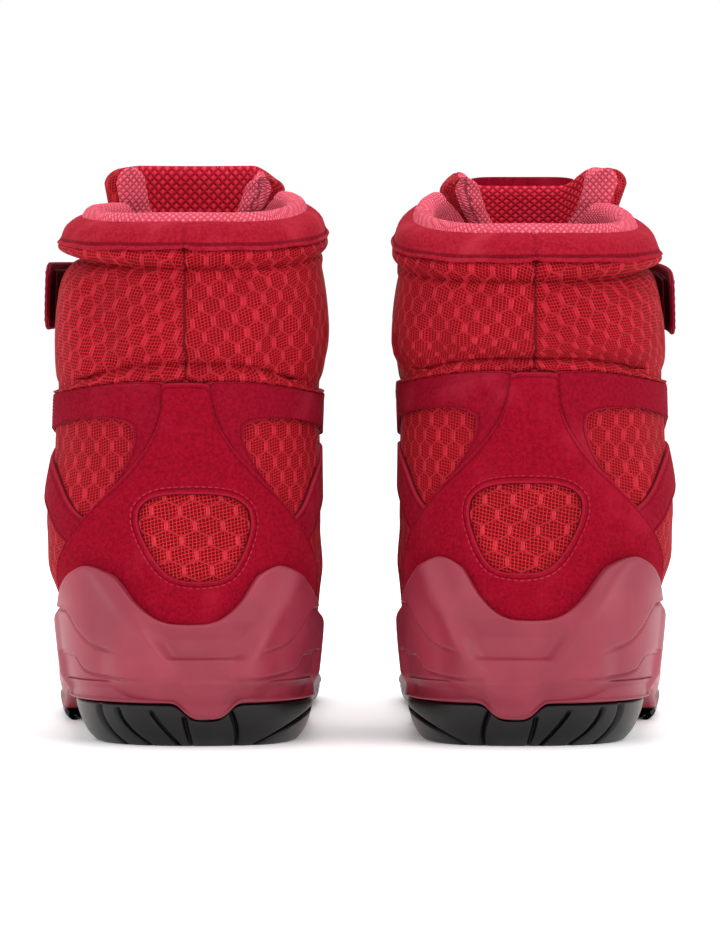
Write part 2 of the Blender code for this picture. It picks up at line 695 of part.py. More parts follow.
def add_strap(boot):
    heights = (STRAP_LOW, (STRAP_LOW + STRAP_HIGH) / 2, STRAP_HIGH)
    rows = [level(STRAP_TIP, STRAP_ROOT, 22, z, STRAP_OUT) for z in heights]
    hinge = boot.strap_hinge
    boot.add("ankle_strap", sheet(rows), "suede", STRAP_THICKNESS, hinge)
    inset = np.linspace(STRAP_LOW + STRAP_PATCH_INSET, STRAP_HIGH - STRAP_PATCH_INSET, 3)
    rows = [level(STRAP_TIP + 0.02, 0.62, 5, z, STRAP_OUT - STRAP_THICKNESS - GAP) for z in inset]
    boot.add("hook_patch", sheet(rows), "webbing", STRAP_PATCH_THICKNESS, hinge)
    rows = [level(STRAP_TIP - 0.02, 0.72, 7, z, 1.5) for z in inset]
    boot.add("loop_patch", sheet(rows), "webbing", STRAP_PATCH_THICKNESS)
    rows = [level(STRAP_ROOT - 0.04, STRAP_ROOT + 0.08, 4, z, 2.6) for z in heights]
    boot.add("strap_anchor", sheet(rows), "suede", STRAP_THICKNESS)


STRAP_HINGE = place(STRAP_ROOT, (STRAP_LOW + STRAP_HIGH) / 2, STRAP_OUT - STRAP_THICKNESS)
TONGUE_HINGE = (on_last(1, TONGUE_SPLIT)[0], float(FRONT(TONGUE_SPLIT)) - 2.2, TONGUE_SPLIT)

for left_over in list(bpy.data.objects):
    bpy.data.objects.remove(left_over)
for made in (Boot("left", -1), Boot("right", 1)):
    for add_pieces in (
        add_outsoles, add_shank, add_midsole, add_insoles, add_heel_layers, add_quarters, add_vamp,
        add_lining, add_collar, add_tongue, add_heel_overlay, add_bands, add_eyestay,
        add_toe_overlay, add_lace, add_strap,
    ):  # fmt: skip
        add_pieces(made)
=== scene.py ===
"""The looks of a pair of boxing boots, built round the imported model.

Shapes are made in millimetres in a boot's own frame: x is positive on the outer side, y runs from
the heel to the toe and z up from the floor. Boot.world turns them into metres in the pair's frame.
A place on an upper is (c, z, out): c runs round the last, from 0 at the heel over the outer side to
1 at the shin and toe and on to 2, and out is how far the place stands out from the last.
"""
import math

import bmesh
import bpy
import numpy as np
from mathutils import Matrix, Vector


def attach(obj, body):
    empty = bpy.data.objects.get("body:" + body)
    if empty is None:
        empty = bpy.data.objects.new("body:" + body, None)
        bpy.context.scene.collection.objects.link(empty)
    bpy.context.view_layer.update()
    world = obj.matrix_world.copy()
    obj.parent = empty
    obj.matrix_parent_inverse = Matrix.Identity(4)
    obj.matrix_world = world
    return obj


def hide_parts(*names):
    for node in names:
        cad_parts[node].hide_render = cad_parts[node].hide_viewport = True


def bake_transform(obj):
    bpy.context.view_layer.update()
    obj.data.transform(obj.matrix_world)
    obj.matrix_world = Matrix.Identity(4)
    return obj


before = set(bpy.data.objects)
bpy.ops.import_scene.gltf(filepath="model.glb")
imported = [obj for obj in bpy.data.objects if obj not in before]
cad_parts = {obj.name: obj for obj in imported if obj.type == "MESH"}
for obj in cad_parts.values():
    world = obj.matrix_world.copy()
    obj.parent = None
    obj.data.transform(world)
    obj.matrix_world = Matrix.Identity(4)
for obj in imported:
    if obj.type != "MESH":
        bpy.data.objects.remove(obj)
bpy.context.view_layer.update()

# The last, as in the CAD model
PAIR_SPACING, BOOT_LENGTH = 114.0, 300.0
TOE_SPRING, SPRING_START = 10.0, 215.0


class Curve:
    """A smooth curve through (position, value) stations that never overshoots them."""

    def __init__(self, *stations):
        self.x, self.y = (np.array(v, float) for v in zip(*stations))
        step = np.diff(self.x)
        slope = np.diff(self.y) / step
        self.m = np.concatenate([slope[:1], np.zeros(len(step) - 1), slope[-1:]])
        for i in range(1, len(step)):
            if slope[i - 1] * slope[i] > 0:
                a, b = 2 * step[i] + step[i - 1], step[i] + 2 * step[i - 1]
                self.m[i] = (a + b) / (a / slope[i - 1] + b / slope[i])

    def __call__(self, at):
        at = np.clip(at, self.x[0], self.x[-1])
        i = np.clip(np.searchsorted(self.x, at) - 1, 0, len(self.x) - 2)
        h = self.x[i + 1] - self.x[i]
        t = (at - self.x[i]) / h
        rise = self.y[i + 1] - self.y[i]
        bend = h * t * (1 - t) * (self.m[i] * (1 - t) - self.m[i + 1] * t)
        return self.y[i] + bend + rise * t * t * (3 - 2 * t)


def smoothstep(low, high, at):
    t = np.clip((at - low) / (high - low), 0, 1)
    return t * t * (3 - 2 * t)


FRONT = Curve((12, 296), (30, 295.5), (40, 294), (48, 290), (54, 283), (58, 274), (62, 259), (66, 242),
              (71, 224), (77, 206), (86, 187), (97, 169), (110, 152), (124, 138), (140, 129),
              (158, 124), (180, 121), (200, 119))
BACK = Curve((12, 8), (30, 5), (48, 4), (75, 7), (100, 12), (120, 14), (140, 12), (160, 12.5), (200, 17))
HEEL_WIDTH = {
    1: Curve((12, 39.5), (35, 42), (50, 43.5), (62, 46), (75, 47.5), (105, 46.8), (120, 46.4),
             (140, 46.5), (160, 46), (182, 43), (200, 41)),
    -1: Curve((12, 37), (35, 39.5), (50, 40.5), (75, 43), (105, 42.5), (120, 43), (140, 45),
              (160, 44.5), (182, 42), (200, 40)),
}
FOOT_WIDTH = {
    1: Curve((100, 45), (140, 46.5), (170, 48.5), (195, 49.5), (225, 48), (298, 44)),
    -1: Curve((100, 39), (130, 38), (160, 38.5), (200, 40), (235, 40), (298, 37)),
}
LAST_BASE, LAST_TOP = 12.0, 200.0
TOE_START, TOE_END, TOE_POWER, TOE_TURN = 218.0, 296.0, 2.3, 6.0
HEEL_ROUNDING, HEEL_POWER = 44.0, 2.2
FOOTBED = Curve((0, 22), (80, 21), (130, 17), (180, 14), (300, 14))
CUP_RIM = Curve((0, 41.2), (0.016, 41.4), (0.03, 42.4), (0.045, 44.8), (0.06, 48.6), (0.088, 57.8),
                (0.122, 60.5), (0.142, 58.6), (0.17, 53.8),
                (0.205, 46.6), (0.225, 43.2), (0.25, 39.5), (0.28, 36.8), (0.34, 33), (0.45, 29.5), (0.6, 26),
                (0.75, 23), (1, 24))
THROAT = Curve((78, 1), (80, 8), (84, 13), (100, 14.5), (122, 15), (140, 16), (160, 18), (170, 22),
               (178, 28), (186, 36))
VAMP_SEAM = Curve((14, 168), (50, 180), (78, 197))
ARCH = (103.0, 134.5)
OUTSOLE_HEEL, OUTSOLE_FOREFOOT = 15.0, 4.0
STRAP_LOW, STRAP_HIGH = 139.5, 162.5
STRAP_ROOT, STRAP_TIP = 1.30, 0.46
TONGUE_SPLIT, TONGUE_HEIGHT = 167.0, 197.0
EYELET_HEIGHTS = (88.0, 95.0, 102.0, 109.0, 116.0)
SOLE_LEVEL = 20.0  # the height at which the soles take their outline from the last

RIDGE_HEIGHTS = np.linspace(LAST_BASE, LAST_TOP, 600)
RIDGE_PLACES = FRONT(RIDGE_HEIGHTS)


def half_width(side, y, z):
    def plan_of(curves, at):
        return np.where(side > 0, curves[1](at), curves[-1](at))

    front = FRONT(z)
    behind = np.clip(1 - (y - BACK(z)) / HEEL_ROUNDING, 0, 1)
    heel_round = (1 - behind**HEEL_POWER) ** (1 / HEEL_POWER)
    toe = np.clip((y - TOE_START) / (TOE_END - TOE_START), 0, 1)
    into_foot = smoothstep(70, 150, y)
    plan = plan_of(HEEL_WIDTH, z) * (1 - into_foot) + plan_of(FOOT_WIDTH, y) * into_foot
    above = np.interp(y, RIDGE_PLACES[::-1], RIDGE_HEIGHTS[::-1])
    ridge = above + 6 * np.maximum(RIDGE_PLACES[-1] - y, 0)
    climb = np.clip((z - LAST_BASE) / (ridge - LAST_BASE + 1e-6), 0, 1)
    foot = plan * (1 - toe**TOE_POWER) ** (1 / TOE_POWER) * np.sqrt(1 - climb**2)
    rounding = 60 + 30 * smoothstep(125, 90, z)
    ahead = np.clip((y - (front - rounding)) / rounding, 0, 1)
    shaft = plan_of(HEEL_WIDTH, z) * np.sqrt(1 - ahead**2)
    into_shaft = smoothstep(70, 115, z)
    return heel_round * (foot * (1 - into_shaft) + shaft * into_shaft)


def wrapped(c):
    return (np.asarray(c, float) + 1) % 2 - 1


def on_last(c, z):
    c, z = np.broadcast_arrays(wrapped(c), np.asarray(z, float))
    side = np.where(c >= 0, 1.0, -1.0)
    y = BACK(z) + (1 - np.cos(np.pi * c)) / 2 * (FRONT(z) - BACK(z))
    x = side * half_width(side, y, z) - TOE_TURN * smoothstep(170, TOE_END, y)
    return np.stack([x, y, z], -1)


def normal_at(c, z):
    around = on_last(c + 0.004, z) - on_last(c - 0.004, z)
    up = on_last(c, z + 0.4) - on_last(c, z - 0.4)
    normal = np.cross(around, up)
    return normal / np.linalg.norm(normal, axis=-1, keepdims=True)


def place(c, z, out):
    c, z, out = np.broadcast_arrays(*(np.asarray(v, float) for v in (c, z, out)))
    return on_last(c, z) + normal_at(c, z) * out[..., None]


# Distances along the surface, measured once for a grid of heights
LEVELS = np.arange(LAST_BASE, LAST_TOP + 1, 2.0)
TURNS = np.linspace(0, 1, 241)


def measured(side):
    points = on_last(side * TURNS[None, :], LEVELS[:, None])
    steps = np.linalg.norm(np.diff(points, axis=1), axis=-1)
    lengths = np.concatenate([np.zeros((len(LEVELS), 1)), np.cumsum(steps, axis=1)], axis=1)
    across = np.abs(points[:, 120:, 0] - points[:, -1:, 0])
    throat = [
        length[-1] - np.interp(THROAT(z), row[::-1], length[120:][::-1])
        for z, row, length in zip(LEVELS, across, lengths)
    ]
    return lengths, np.array(throat)


LENGTHS = {side: measured(side) for side in (1, -1)}


def arc_at(side, u, z):
    """Distance along the surface from the heel's centre line to u at height z."""
    row = np.clip((z - LAST_BASE) / 2.0, 0, len(LEVELS) - 1.001)
    column = np.clip(u, 0, 0.99999) * (len(TURNS) - 1)
    r, k = row.astype(int), column.astype(int)
    up, along = row - r, column - k
    found = 0
    for sign in (1, -1):
        table = LENGTHS[sign][0]
        low = table[r, k] * (1 - along) + table[r, k + 1] * along
        high = table[r + 1, k] * (1 - along) + table[r + 1, k + 1] * along
        found = found + np.where(side == sign, low * (1 - up) + high * up, 0)
    return found


def turn_for(side, length, z):
    low, high = np.zeros_like(length), np.ones_like(length)
    for _ in range(18):
        middle = (low + high) / 2
        short = arc_at(side, middle, z) < length
        low, high = np.where(short, middle, low), np.where(short, high, middle)
    return (low + high) / 2


def from_heel(arc, z):
    arc, z = np.broadcast_arrays(np.asarray(arc, float), np.asarray(z, float))
    side = np.where(arc >= 0, 1, -1)
    return side * turn_for(side, np.abs(arc), z)


def from_front(arc, z):
    arc, z = np.broadcast_arrays(np.asarray(arc, float), np.asarray(z, float))
    side = np.where(arc >= 0, 1, -1)
    turn = turn_for(side, arc_at(side, np.ones_like(z), z) - np.abs(arc), z)
    return np.where(side > 0, turn, 2 - turn)


def at_y(side, y, z):
    share = np.clip((y - BACK(z)) / (FRONT(z) - BACK(z)), 0, 1)
    return (side * np.arccos(1 - 2 * share) / np.pi) % 2


def throat_edge(side, z, back=0.0):
    z = np.asarray(z, float)
    return from_front(side * (np.interp(z, LEVELS, LENGTHS[side][1]) + back), z)


def heel_arc(c, z):
    """Signed distance from the heel's centre line: cloth is laid out by it."""
    c, z = np.broadcast_arrays(wrapped(c), np.asarray(z, float))
    side = np.where(c >= 0, 1, -1)
    return side * arc_at(side, np.abs(c), z)


def rim(c):
    turn = wrapped(c)
    return 178.0 + np.where(turn >= 0, 4.5, 8.5) * smoothstep(0.1, 0.7, np.abs(turn))


def seam_height(c):
    """Where the padded collar is sewn to the upper: highest at the heel's centre."""
    return 122.6 - 4.8 * smoothstep(0.06, 0.36, np.abs(wrapped(c)))


def upper_base(c):
    return FOOTBED(on_last(c, SOLE_LEVEL)[..., 1]) + 2.8


def lean(z):
    """How far the rear features sit outwards of the centre line: the heel is slightly turned."""
    return np.interp(z, (10, 30, 45, 70, 100, 125, 180), (-5.4, -5.0, -4.0, -2.0, 0.3, 1.7, 2.0))


# Materials


def rgb(code):
    parts = [int(code[i:i + 2], 16) / 255 for i in (0, 2, 4)]
    return (*[v / 12.92 if v <= 0.04045 else ((v + 0.055) / 1.055) ** 2.4 for v in parts], 1.0)


class Finish:
    """A material made of nodes; its methods return sockets that feed one another."""

    def __init__(self, name, roughness, **settings):
        self.material = bpy.data.materials.new(name)
        self.material.use_nodes = True
        self.tree = self.material.node_tree
        self.shader = self.tree.nodes["Principled BSDF"]
        self.shader.inputs["Roughness"].default_value = roughness
        for key, value in settings.items():
            self.shader.inputs[key.replace("_", " ")].default_value = value
        self.spot = self.node("TexCoord").outputs["Object"]

    def node(self, kind, settings=(), **inputs):
        made = self.tree.nodes.new("ShaderNode" + kind)
        for key, value in dict(settings).items():
            setattr(made, key, value)
        for key, value in inputs.items():
            self.feed(made.inputs[key.replace("_", " ")], value)
        return made

    def feed(self, socket, value):
        if isinstance(value, bpy.types.NodeSocket):
            self.tree.links.new(value, socket)
        else:
            socket.default_value = value

    def math(self, operation, *values):
        made = self.node("Math", {"operation": operation})
        for socket, value in zip(made.inputs, values):
            self.feed(socket, value)
        return made.outputs[0]

    def layout(self):
        """The cloth's own coordinates in millimetres, along and across."""
        spot = self.node("Attribute", {"attribute_name": "cloth"}).outputs["Vector"]
        split = self.node("SeparateXYZ", Vector=spot)
        return split.outputs[0], split.outputs[1]

    def noise(self, scale, detail=3.0, roughness=0.55):
        made = self.node("TexNoise", Vector=self.spot, Scale=scale, Detail=detail, Roughness=roughness)
        return made.outputs[0]

    def smooth(self, value, low, high, start=0.0, end=1.0):
        made = self.node("MapRange", {"interpolation_type": "SMOOTHSTEP"}, Value=value)
        for key, number in (("From Min", low), ("From Max", high), ("To Min", start), ("To Max", end)):
            made.inputs[key].default_value = number
        return made.outputs[0]

    def mix(self, share, first, second):
        made = self.node("Mix", {"data_type": "RGBA"})
        for index, value in ((0, share), (6, first), (7, second)):
            self.feed(made.inputs[index], rgb(value) if isinstance(value, str) else value)
        return made.outputs[2]

    def hexes(self, u, v, wide, tall, side):
        """Distances to a honeycomb's nearest border and upright border, and height off its cell."""
        slope = (tall - 2 * side) / (wide / 2)
        inside = self.math("FLOORED_MODULO", u, wide)
        x = self.math("ABSOLUTE", self.math("SUBTRACT", inside, wide / 2))
        inside = self.math("FLOORED_MODULO", v, 2 * tall)
        y = self.math("ABSOLUTE", self.math("SUBTRACT", inside, tall))
        fall = self.math("MULTIPLY_ADD", x, slope, self.math("SUBTRACT", y, tall - side))
        second = self.math("GREATER_THAN", fall, 0.0)
        slanted = self.math("MULTIPLY", self.math("ABSOLUTE", fall), 1 / math.hypot(1, slope))
        widths = [self.math("SUBTRACT", wide / 2, x), x]
        heights = [y, self.math("SUBTRACT", tall, y)]
        picked = []
        for first, other in (widths, heights):
            change = self.math("MULTIPLY", second, self.math("SUBTRACT", other, first))
            picked.append(self.math("ADD", first, change))
        upright, away = picked
        return self.math("MINIMUM", slanted, upright), upright, away

    def finish(self, colour, height, deep=0.001):
        """Feeds colour and bump, whose height is in units of deep metres, to the shader."""
        self.feed(self.shader.inputs["Base Color"], colour)
        bump = self.node("Bump", Strength=1.0, Distance=deep, Height=height)
        self.feed(self.shader.inputs["Normal"], bump.outputs[0])
        return self.material


# dark and light are the nap's own tones; the third colour is used for real worn patches and also for a painted
# highlight along panel edges
def suede(name, dark, light, worn_and_highlight):
    f = Finish(name, 0.95, Sheen_Weight=0.04, Sheen_Roughness=0.4, Specular_IOR_Level=0.05)
    f.shader.inputs["Sheen Tint"].default_value = rgb("FF8C98")
    nap, patches, grain = f.noise(900, 4.0, 0.7), f.noise(55, 3.0), f.noise(3200, 2.0, 0.6)
    colour = f.mix(f.smooth(nap, 0.32, 0.68), dark, light)
    colour = f.mix(f.smooth(patches, 0.5, 0.78, 0.0, 0.5), colour, worn_and_highlight)
    edge = f.node("Attribute", {"attribute_name": "edge"}).outputs["Fac"]
    # painted shade: a dark line along the sewn groove, where edge is about 0.1 to 0.22
    sewn = f.math("MULTIPLY", f.smooth(edge, 0.1, 0.13), f.smooth(edge, 0.22, 0.17))
    # painted highlight: a lighter band on the rounded fall of a panel's edge, where edge is 0.42 to 0.62
    colour = f.mix(f.smooth(edge, 0.42, 0.62, 0.0, 0.7), colour, worn_and_highlight)
    # painted shade in the sewn groove, darkened towards 4E0410
    colour = f.mix(f.math("MULTIPLY", sewn, 0.6), colour, "4E0410")
    # painted shadow: the outermost rim and side wall of a panel, where edge nears 1, darkened towards 4E0410
    colour = f.mix(f.smooth(edge, 0.86, 0.99, 0.0, 0.9), colour, "4E0410")
    height = f.math("MULTIPLY_ADD", nap, 0.35, f.math("MULTIPLY", grain, 0.2))
    return f.finish(colour, height, 0.0006)


def mesh_cloth(name, cell, opening, strand, thread, hole_shade_and_tone, width):
    """Open mesh: a honeycomb of raised double strands over a fine net."""
    f = Finish(name, 0.75, Sheen_Weight=0.01, Specular_IOR_Level=0.07)
    u, v = f.layout()
    sway = f.math("MULTIPLY_ADD", f.noise(90, 1.0), 1.2, -0.6)
    u, v = f.math("ADD", u, sway), f.math("ADD", v, sway)
    border, upright, away = f.hexes(u, v, *cell)
    side = cell[2]
    raised = f.smooth(border, width, width * 0.5)
    bars = f.smooth(upright, width * 1.9, width * 1.5)
    bars = f.math("MULTIPLY", bars, f.smooth(away, side + 0.3, side - 0.1))
    parted = f.smooth(border, 0.0, width * 0.35)
    strands = f.math("MAXIMUM", raised, bars)
    openings = []
    for value, pitch in zip((u, f.math("MULTIPLY_ADD", u, 0.25, v)), opening):
        inside = f.math("FLOORED_MODULO", value, pitch)
        off = f.math("ABSOLUTE", f.math("SUBTRACT", inside, pitch / 2))
        openings.append(f.smooth(off, pitch * 0.41, pitch * 0.28))
    open_here = f.math("MULTIPLY", *openings)
    open_here = f.math("MULTIPLY", open_here, f.math("MULTIPLY_ADD", strands, -0.9, 1.0))
    fuzz = f.noise(2600, 2.0)
    colour = f.mix(f.smooth(fuzz, 0.3, 0.7, 0.0, 0.5), thread, strand)
    # painted highlight: raised strands and bars are lightened towards the strand colour
    colour = f.mix(f.math("MULTIPLY", raised, 0.35), colour, strand)
    colour = f.mix(f.math("MULTIPLY", bars, 0.85), colour, strand)
    # painted shade: the net's openings are darkened to the dark hole colour
    colour = f.mix(open_here, colour, hole_shade_and_tone)
    # painted shade in the cleft between the two strands of each bar
    cleft_shade = f.math("MULTIPLY", bars, f.math("SUBTRACT", 1.0, parted))
    colour = f.mix(f.math("MULTIPLY", cleft_shade, 0.5), colour, hole_shade_and_tone)
    # the same dark colour also darkens the mesh in random patches, its own tone
    tone = f.smooth(f.noise(45, 2.0), 0.35, 0.7, 0.0, 0.2)
    colour = f.mix(tone, colour, hole_shade_and_tone)
    ridge = f.math("MULTIPLY", raised, f.math("MULTIPLY_ADD", parted, 0.25, 0.3))
    ridge = f.math("MULTIPLY_ADD", bars, 0.35, ridge)
    height = f.math("SUBTRACT", ridge, f.math("MULTIPLY", open_here, 0.5))
    height = f.math("MULTIPLY_ADD", fuzz, 0.12, height)
    return f.finish(colour, height)


def knit(name, size, light, tip, trough_shade_and_tone, deep):
    """A soft knit of small diamonds."""
    f = Finish(name, 0.9, Sheen_Weight=0.03, Sheen_Roughness=0.5, Specular_IOR_Level=0.06)
    f.shader.inputs["Sheen Tint"].default_value = rgb("FFB0B8")
    u, v = f.layout()
    folds = []
    for slope in (1.0, -1.0):
        along = f.math("MULTIPLY_ADD", v, slope, u)
        inside = f.math("FLOORED_MODULO", along, size)
        folds.append(f.math("ABSOLUTE", f.math("SUBTRACT", inside, size / 2)))
    near = f.math("MINIMUM", *[f.math("SUBTRACT", size / 2, fold) for fold in folds])
    pillow = f.smooth(near, 0.0, size * 0.3)
    fuzz = f.noise(2200, 3.0, 0.65)
    colour = f.mix(f.smooth(fuzz, 0.3, 0.75), light, tip)
    # painted shade: the troughs between the diamonds are darkened to the dark trough colour
    colour = f.mix(f.math("SUBTRACT", 1.0, pillow), colour, trough_shade_and_tone)
    # the same dark colour also darkens the knit in random patches, its own tone
    tone = f.smooth(f.noise(60, 2.0), 0.4, 0.75, 0.0, 0.3)
    colour = f.mix(tone, colour, trough_shade_and_tone)
    height = f.math("MULTIPLY_ADD", fuzz, 0.25, pillow)
    return f.finish(colour, height, deep)


def moulded(name, roughness, dark, light, speckle, deep, **settings):
    """Moulded rubber or foam with faint clouds and a fine skin."""
    f = Finish(name, roughness, **settings)
    clouds, skin = f.noise(28, 3.0), f.noise(2400, 3.0, 0.6)
    colour = f.mix(f.smooth(clouds, 0.35, 0.7), dark, light)
    colour = f.mix(f.smooth(skin, 0.55, 0.8, 0.0, 0.35), colour, speckle)
    return f.finish(colour, skin, deep)


def woven(name, dark, light, pitch):
    """Narrow woven tape: a twill of small raised threads."""
    f = Finish(name, 0.8, Sheen_Weight=0.01, Specular_IOR_Level=0.06)
    u, v = f.layout()
    border = f.hexes(u, v, pitch, pitch * 0.5, 0.0)[0]
    thread = f.smooth(border, 0.0, pitch * 0.3)
    fuzz = f.noise(2600, 2.0)
    colour = f.mix(thread, dark, light)
    colour = f.mix(f.smooth(fuzz, 0.4, 0.8, 0.0, 0.4), colour, dark)
    return f.finish(colour, f.math("MULTIPLY_ADD", fuzz, 0.3, thread), 0.0004)


WINDOW_CELL = (9.4, 4.95, 1.5)  # a cell's width, the distance between rows, half an upright side
MATERIALS = {
    "suede": suede("suede", "76061A", "8F0D25", "A02438"),
    "suede_heel": suede("suede_heel", "780519", "940A23", "A41E34"),
    "suede_binding": suede("suede_binding", "8A0C1F", "A21C2F", "B63444"),
    "suede_dark": suede("suede_dark", "64081A", "801024", "942436"),
    # mesh colours: strand paints highlights on the raised strands, thread is the net's own colour, and the dark
    # hole colour paints shade in the openings and between strands
    "mesh": mesh_cloth("mesh", (6.8, 5.3, 1.6), (1.1, 1.02), "DC3040", "BC1424", "6E030C", 0.5),
    "mesh_heel": mesh_cloth("mesh_heel", WINDOW_CELL, (1.2, 1.15), "EE3C48", "BE1422", "66030A", 0.42),
    # knit colours: the light tone, the fuzz tips, and a dark colour that paints shade in the troughs and varies
    # the tone at random
    "lining": knit("lining", 2.5, "E85068", "F28896", "CE4258", 0.0005),
    # the tongue's inner knit is a darker red: partly its own colour, partly painted shade for its face deep
    # inside the throat
    "tongue": knit("tongue", 3.3, "DA1C36", "E43E52", "AE1028", 0.0011),
    "midsole": moulded("midsole", 0.4, "86283A", "983344", "A03E4C", 0.00006, Specular_IOR_Level=0.34),
    "rubber": moulded("rubber", 0.33, "060505", "0D0B0B", "141210", 0.00015, Specular_IOR_Level=0.34),
    "board": moulded("board", 0.9, "8D7655", "A38B66", "B79F7A", 0.0003),
    "shank": moulded("shank", 0.38, "151517", "222226", "303036", 0.00008),
    "lace": woven("lace", "6A0416", "9C1024", 1.1),
    "loop": woven("loop", "4A0610", "74101C", 0.8),
    "thread": moulded("thread", 0.8, "A01C30", "B02C40", "BC3C50", 0.0001, Specular_IOR_Level=0.05),
    "thread_dark": moulded("thread_dark", 0.8, "6E0618", "80081C", "900C24", 0.0001, Specular_IOR_Level=0.05),
    "eyelet": moulded("eyelet", 0.35, "4A0610", "5E0A16", "741424", 0.00005),
}

# Meshes


def quads(rows, columns, closed=False):
    r, k = np.meshgrid(np.arange(rows - 1), np.arange(columns if closed else columns - 1), indexing="ij")
    after = (k + 1) % columns
    faces = np.stack([r * columns + k, r * columns + after, (r + 1) * columns + after,
                      (r + 1) * columns + k], -1)
    return faces.reshape(-1, 4)


# How much higher or lower the right boot's rear features sit than the left one's
REAR_SHIFT = Curve((30, 0), (58, 3.0), (80, 3.7), (123, 3.6), (137, -2.5), (150, -4.6), (176, -3.8),
                   (190, -3.6))
# How much fuller the heel's outer side is than the last, and how much slimmer the inner forefoot
FULLER = Curve((47, 0), (60, 2.0), (72, 2.4), (84, 2.0), (98, 0))
SLIMMER = Curve((105, 0), (175, 2.8), (240, 2.8), (296, 0))


class Boot:
    """One boot of the pair: side is -1 for the left boot and 1 for the right one."""

    def __init__(self, name, side):
        self.name, self.side, self.stitches = name, side, {}

    def world(self, points):
        points = np.asarray(points, float)
        x, y, z = points[..., 0], points[..., 1], points[..., 2]
        lift = np.maximum(y - SPRING_START, 0) / (BOOT_LENGTH - SPRING_START)
        x = x + FULLER(z) * smoothstep(18, 38, x) * smoothstep(110, 75, y)
        x = x + SLIMMER(y) * smoothstep(4, 30, -x) * smoothstep(90, 68, z)
        across = self.side * (PAIR_SPACING / 2 + x)
        rear = REAR_SHIFT(z) * smoothstep(95, 50, y) * (self.side > 0)
        return np.stack([across, y - BOOT_LENGTH / 2, z + TOE_SPRING * lift**2 + rear], -1) / 1000

    def piece(self, name, parts, material, slot, nodes=(), body="boot", padded=None):
        """Adds a piece made of parts: each has points, faces, and perhaps cloth, edge and material."""
        points, faces, cloth, edge, slots = [], [], [], [], []
        names = [material]
        start = 0
        for part in parts:
            spots = np.asarray(part["points"], float).reshape(-1, 3)
            points.append(self.world(spots))
            faces.append(np.asarray(part["faces"]) + start)
            flat = np.zeros((len(spots), 3))
            if "cloth" in part:
                flat[:, :2] = np.stack([np.ravel(v) for v in part["cloth"]], -1)
            cloth.append(flat)
            edge.append(np.ravel(part.get("edge", np.zeros(len(spots)))))
            own = part.get("material", material)
            if own not in names:
                names.append(own)
            slots.append(np.full(len(part["faces"]), names.index(own)))
            start += len(spots)
        faces = np.concatenate(faces)
        if self.side < 0:
            faces = faces[:, ::-1]
        mesh = bpy.data.meshes.new(f"{self.name}_{name}")
        mesh.from_pydata(np.concatenate(points).tolist(), [], faces.tolist())
        for own in names:
            mesh.materials.append(MATERIALS[own])
        mesh.polygons.foreach_set("material_index", np.concatenate(slots).astype(np.int32))
        mesh.attributes.new("cloth", "FLOAT_VECTOR", "POINT")
        mesh.attributes["cloth"].data.foreach_set("vector", np.concatenate(cloth).ravel())
        mesh.attributes.new("edge", "FLOAT", "POINT")
        mesh.attributes["edge"].data.foreach_set("value", np.concatenate(edge))
        mesh.shade_smooth()
        made = bpy.data.objects.new(mesh.name, mesh)
        bpy.context.scene.collection.objects.link(made)
        if nodes:
            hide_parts(*(f"{self.name}_{node}" for node in nodes))
        if body:
            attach(made, f"{self.name}_{body}")
        return made

    def stitch(self, c, z, out, body="boot", pitch=2.7, thread="thread_dark"):
        """Notes a row of stitches along a line of places, to be made by add_stitches."""
        points, normals = place(c, z, out), normal_at(c, z)
        steps = np.linalg.norm(np.diff(points, axis=0), axis=1)
        lengths = np.concatenate([[0], np.cumsum(steps)])
        at = np.arange(pitch / 2, lengths[-1], pitch)
        middles, across = ([np.stack([np.interp(at + d, lengths, v[:, i]) for i in range(3)], -1)
                            for d in (0, 0.5)] for v in (points, normals))
        heading = middles[1] - middles[0]
        heading /= np.linalg.norm(heading, axis=1, keepdims=True) + 1e-9
        self.stitches.setdefault((body, thread), []).append((middles[0], heading, across[0]))


def surface(c, z, out, cloth=None, **more):
    """A part: a grid of places whose rows go up as its columns go round."""
    c, z, out = np.broadcast_arrays(*(np.asarray(v, float) for v in (c, z, out)))
    part = {"points": place(c, z, out), "faces": quads(*c.shape)}
    part["cloth"] = cloth if cloth is not None else (heel_arc(c, z), z)
    return {**part, **more}


def resampled(line, count):
    """A smooth line through a few points, as count points evenly spaced along it."""
    line = np.asarray(line, float)
    steps = np.linalg.norm(np.diff(line, axis=0), axis=1)
    lengths = np.concatenate([[0], np.cumsum(steps)])
    at = np.linspace(0, lengths[-1], count)
    return np.stack([Curve(*zip(lengths, column))(at) for column in line.T], -1)


ROLL = np.array([0, 0, 0.12, 0.35, 0.7, 1.1, 1.45, 1.8, 2.15, 2.5, 3.0, 3.6])


SEWN_AT = 1.8  # distance of a panel's stitches from its edge
PANEL_DEPTH, PANEL_FOOT = 1.3, -0.6


def rolled(d, top):
    """Height of a panel at distance d from its edge: rounded off, with a sewn groove."""
    fall = 1 - np.sqrt(np.clip(1 - (1 - np.clip(d / 1.1, 0, 1)) ** 2, 0, 1))
    return top - PANEL_DEPTH * fall - 0.24 * np.exp(-(((d - SEWN_AT) / 0.4) ** 2))


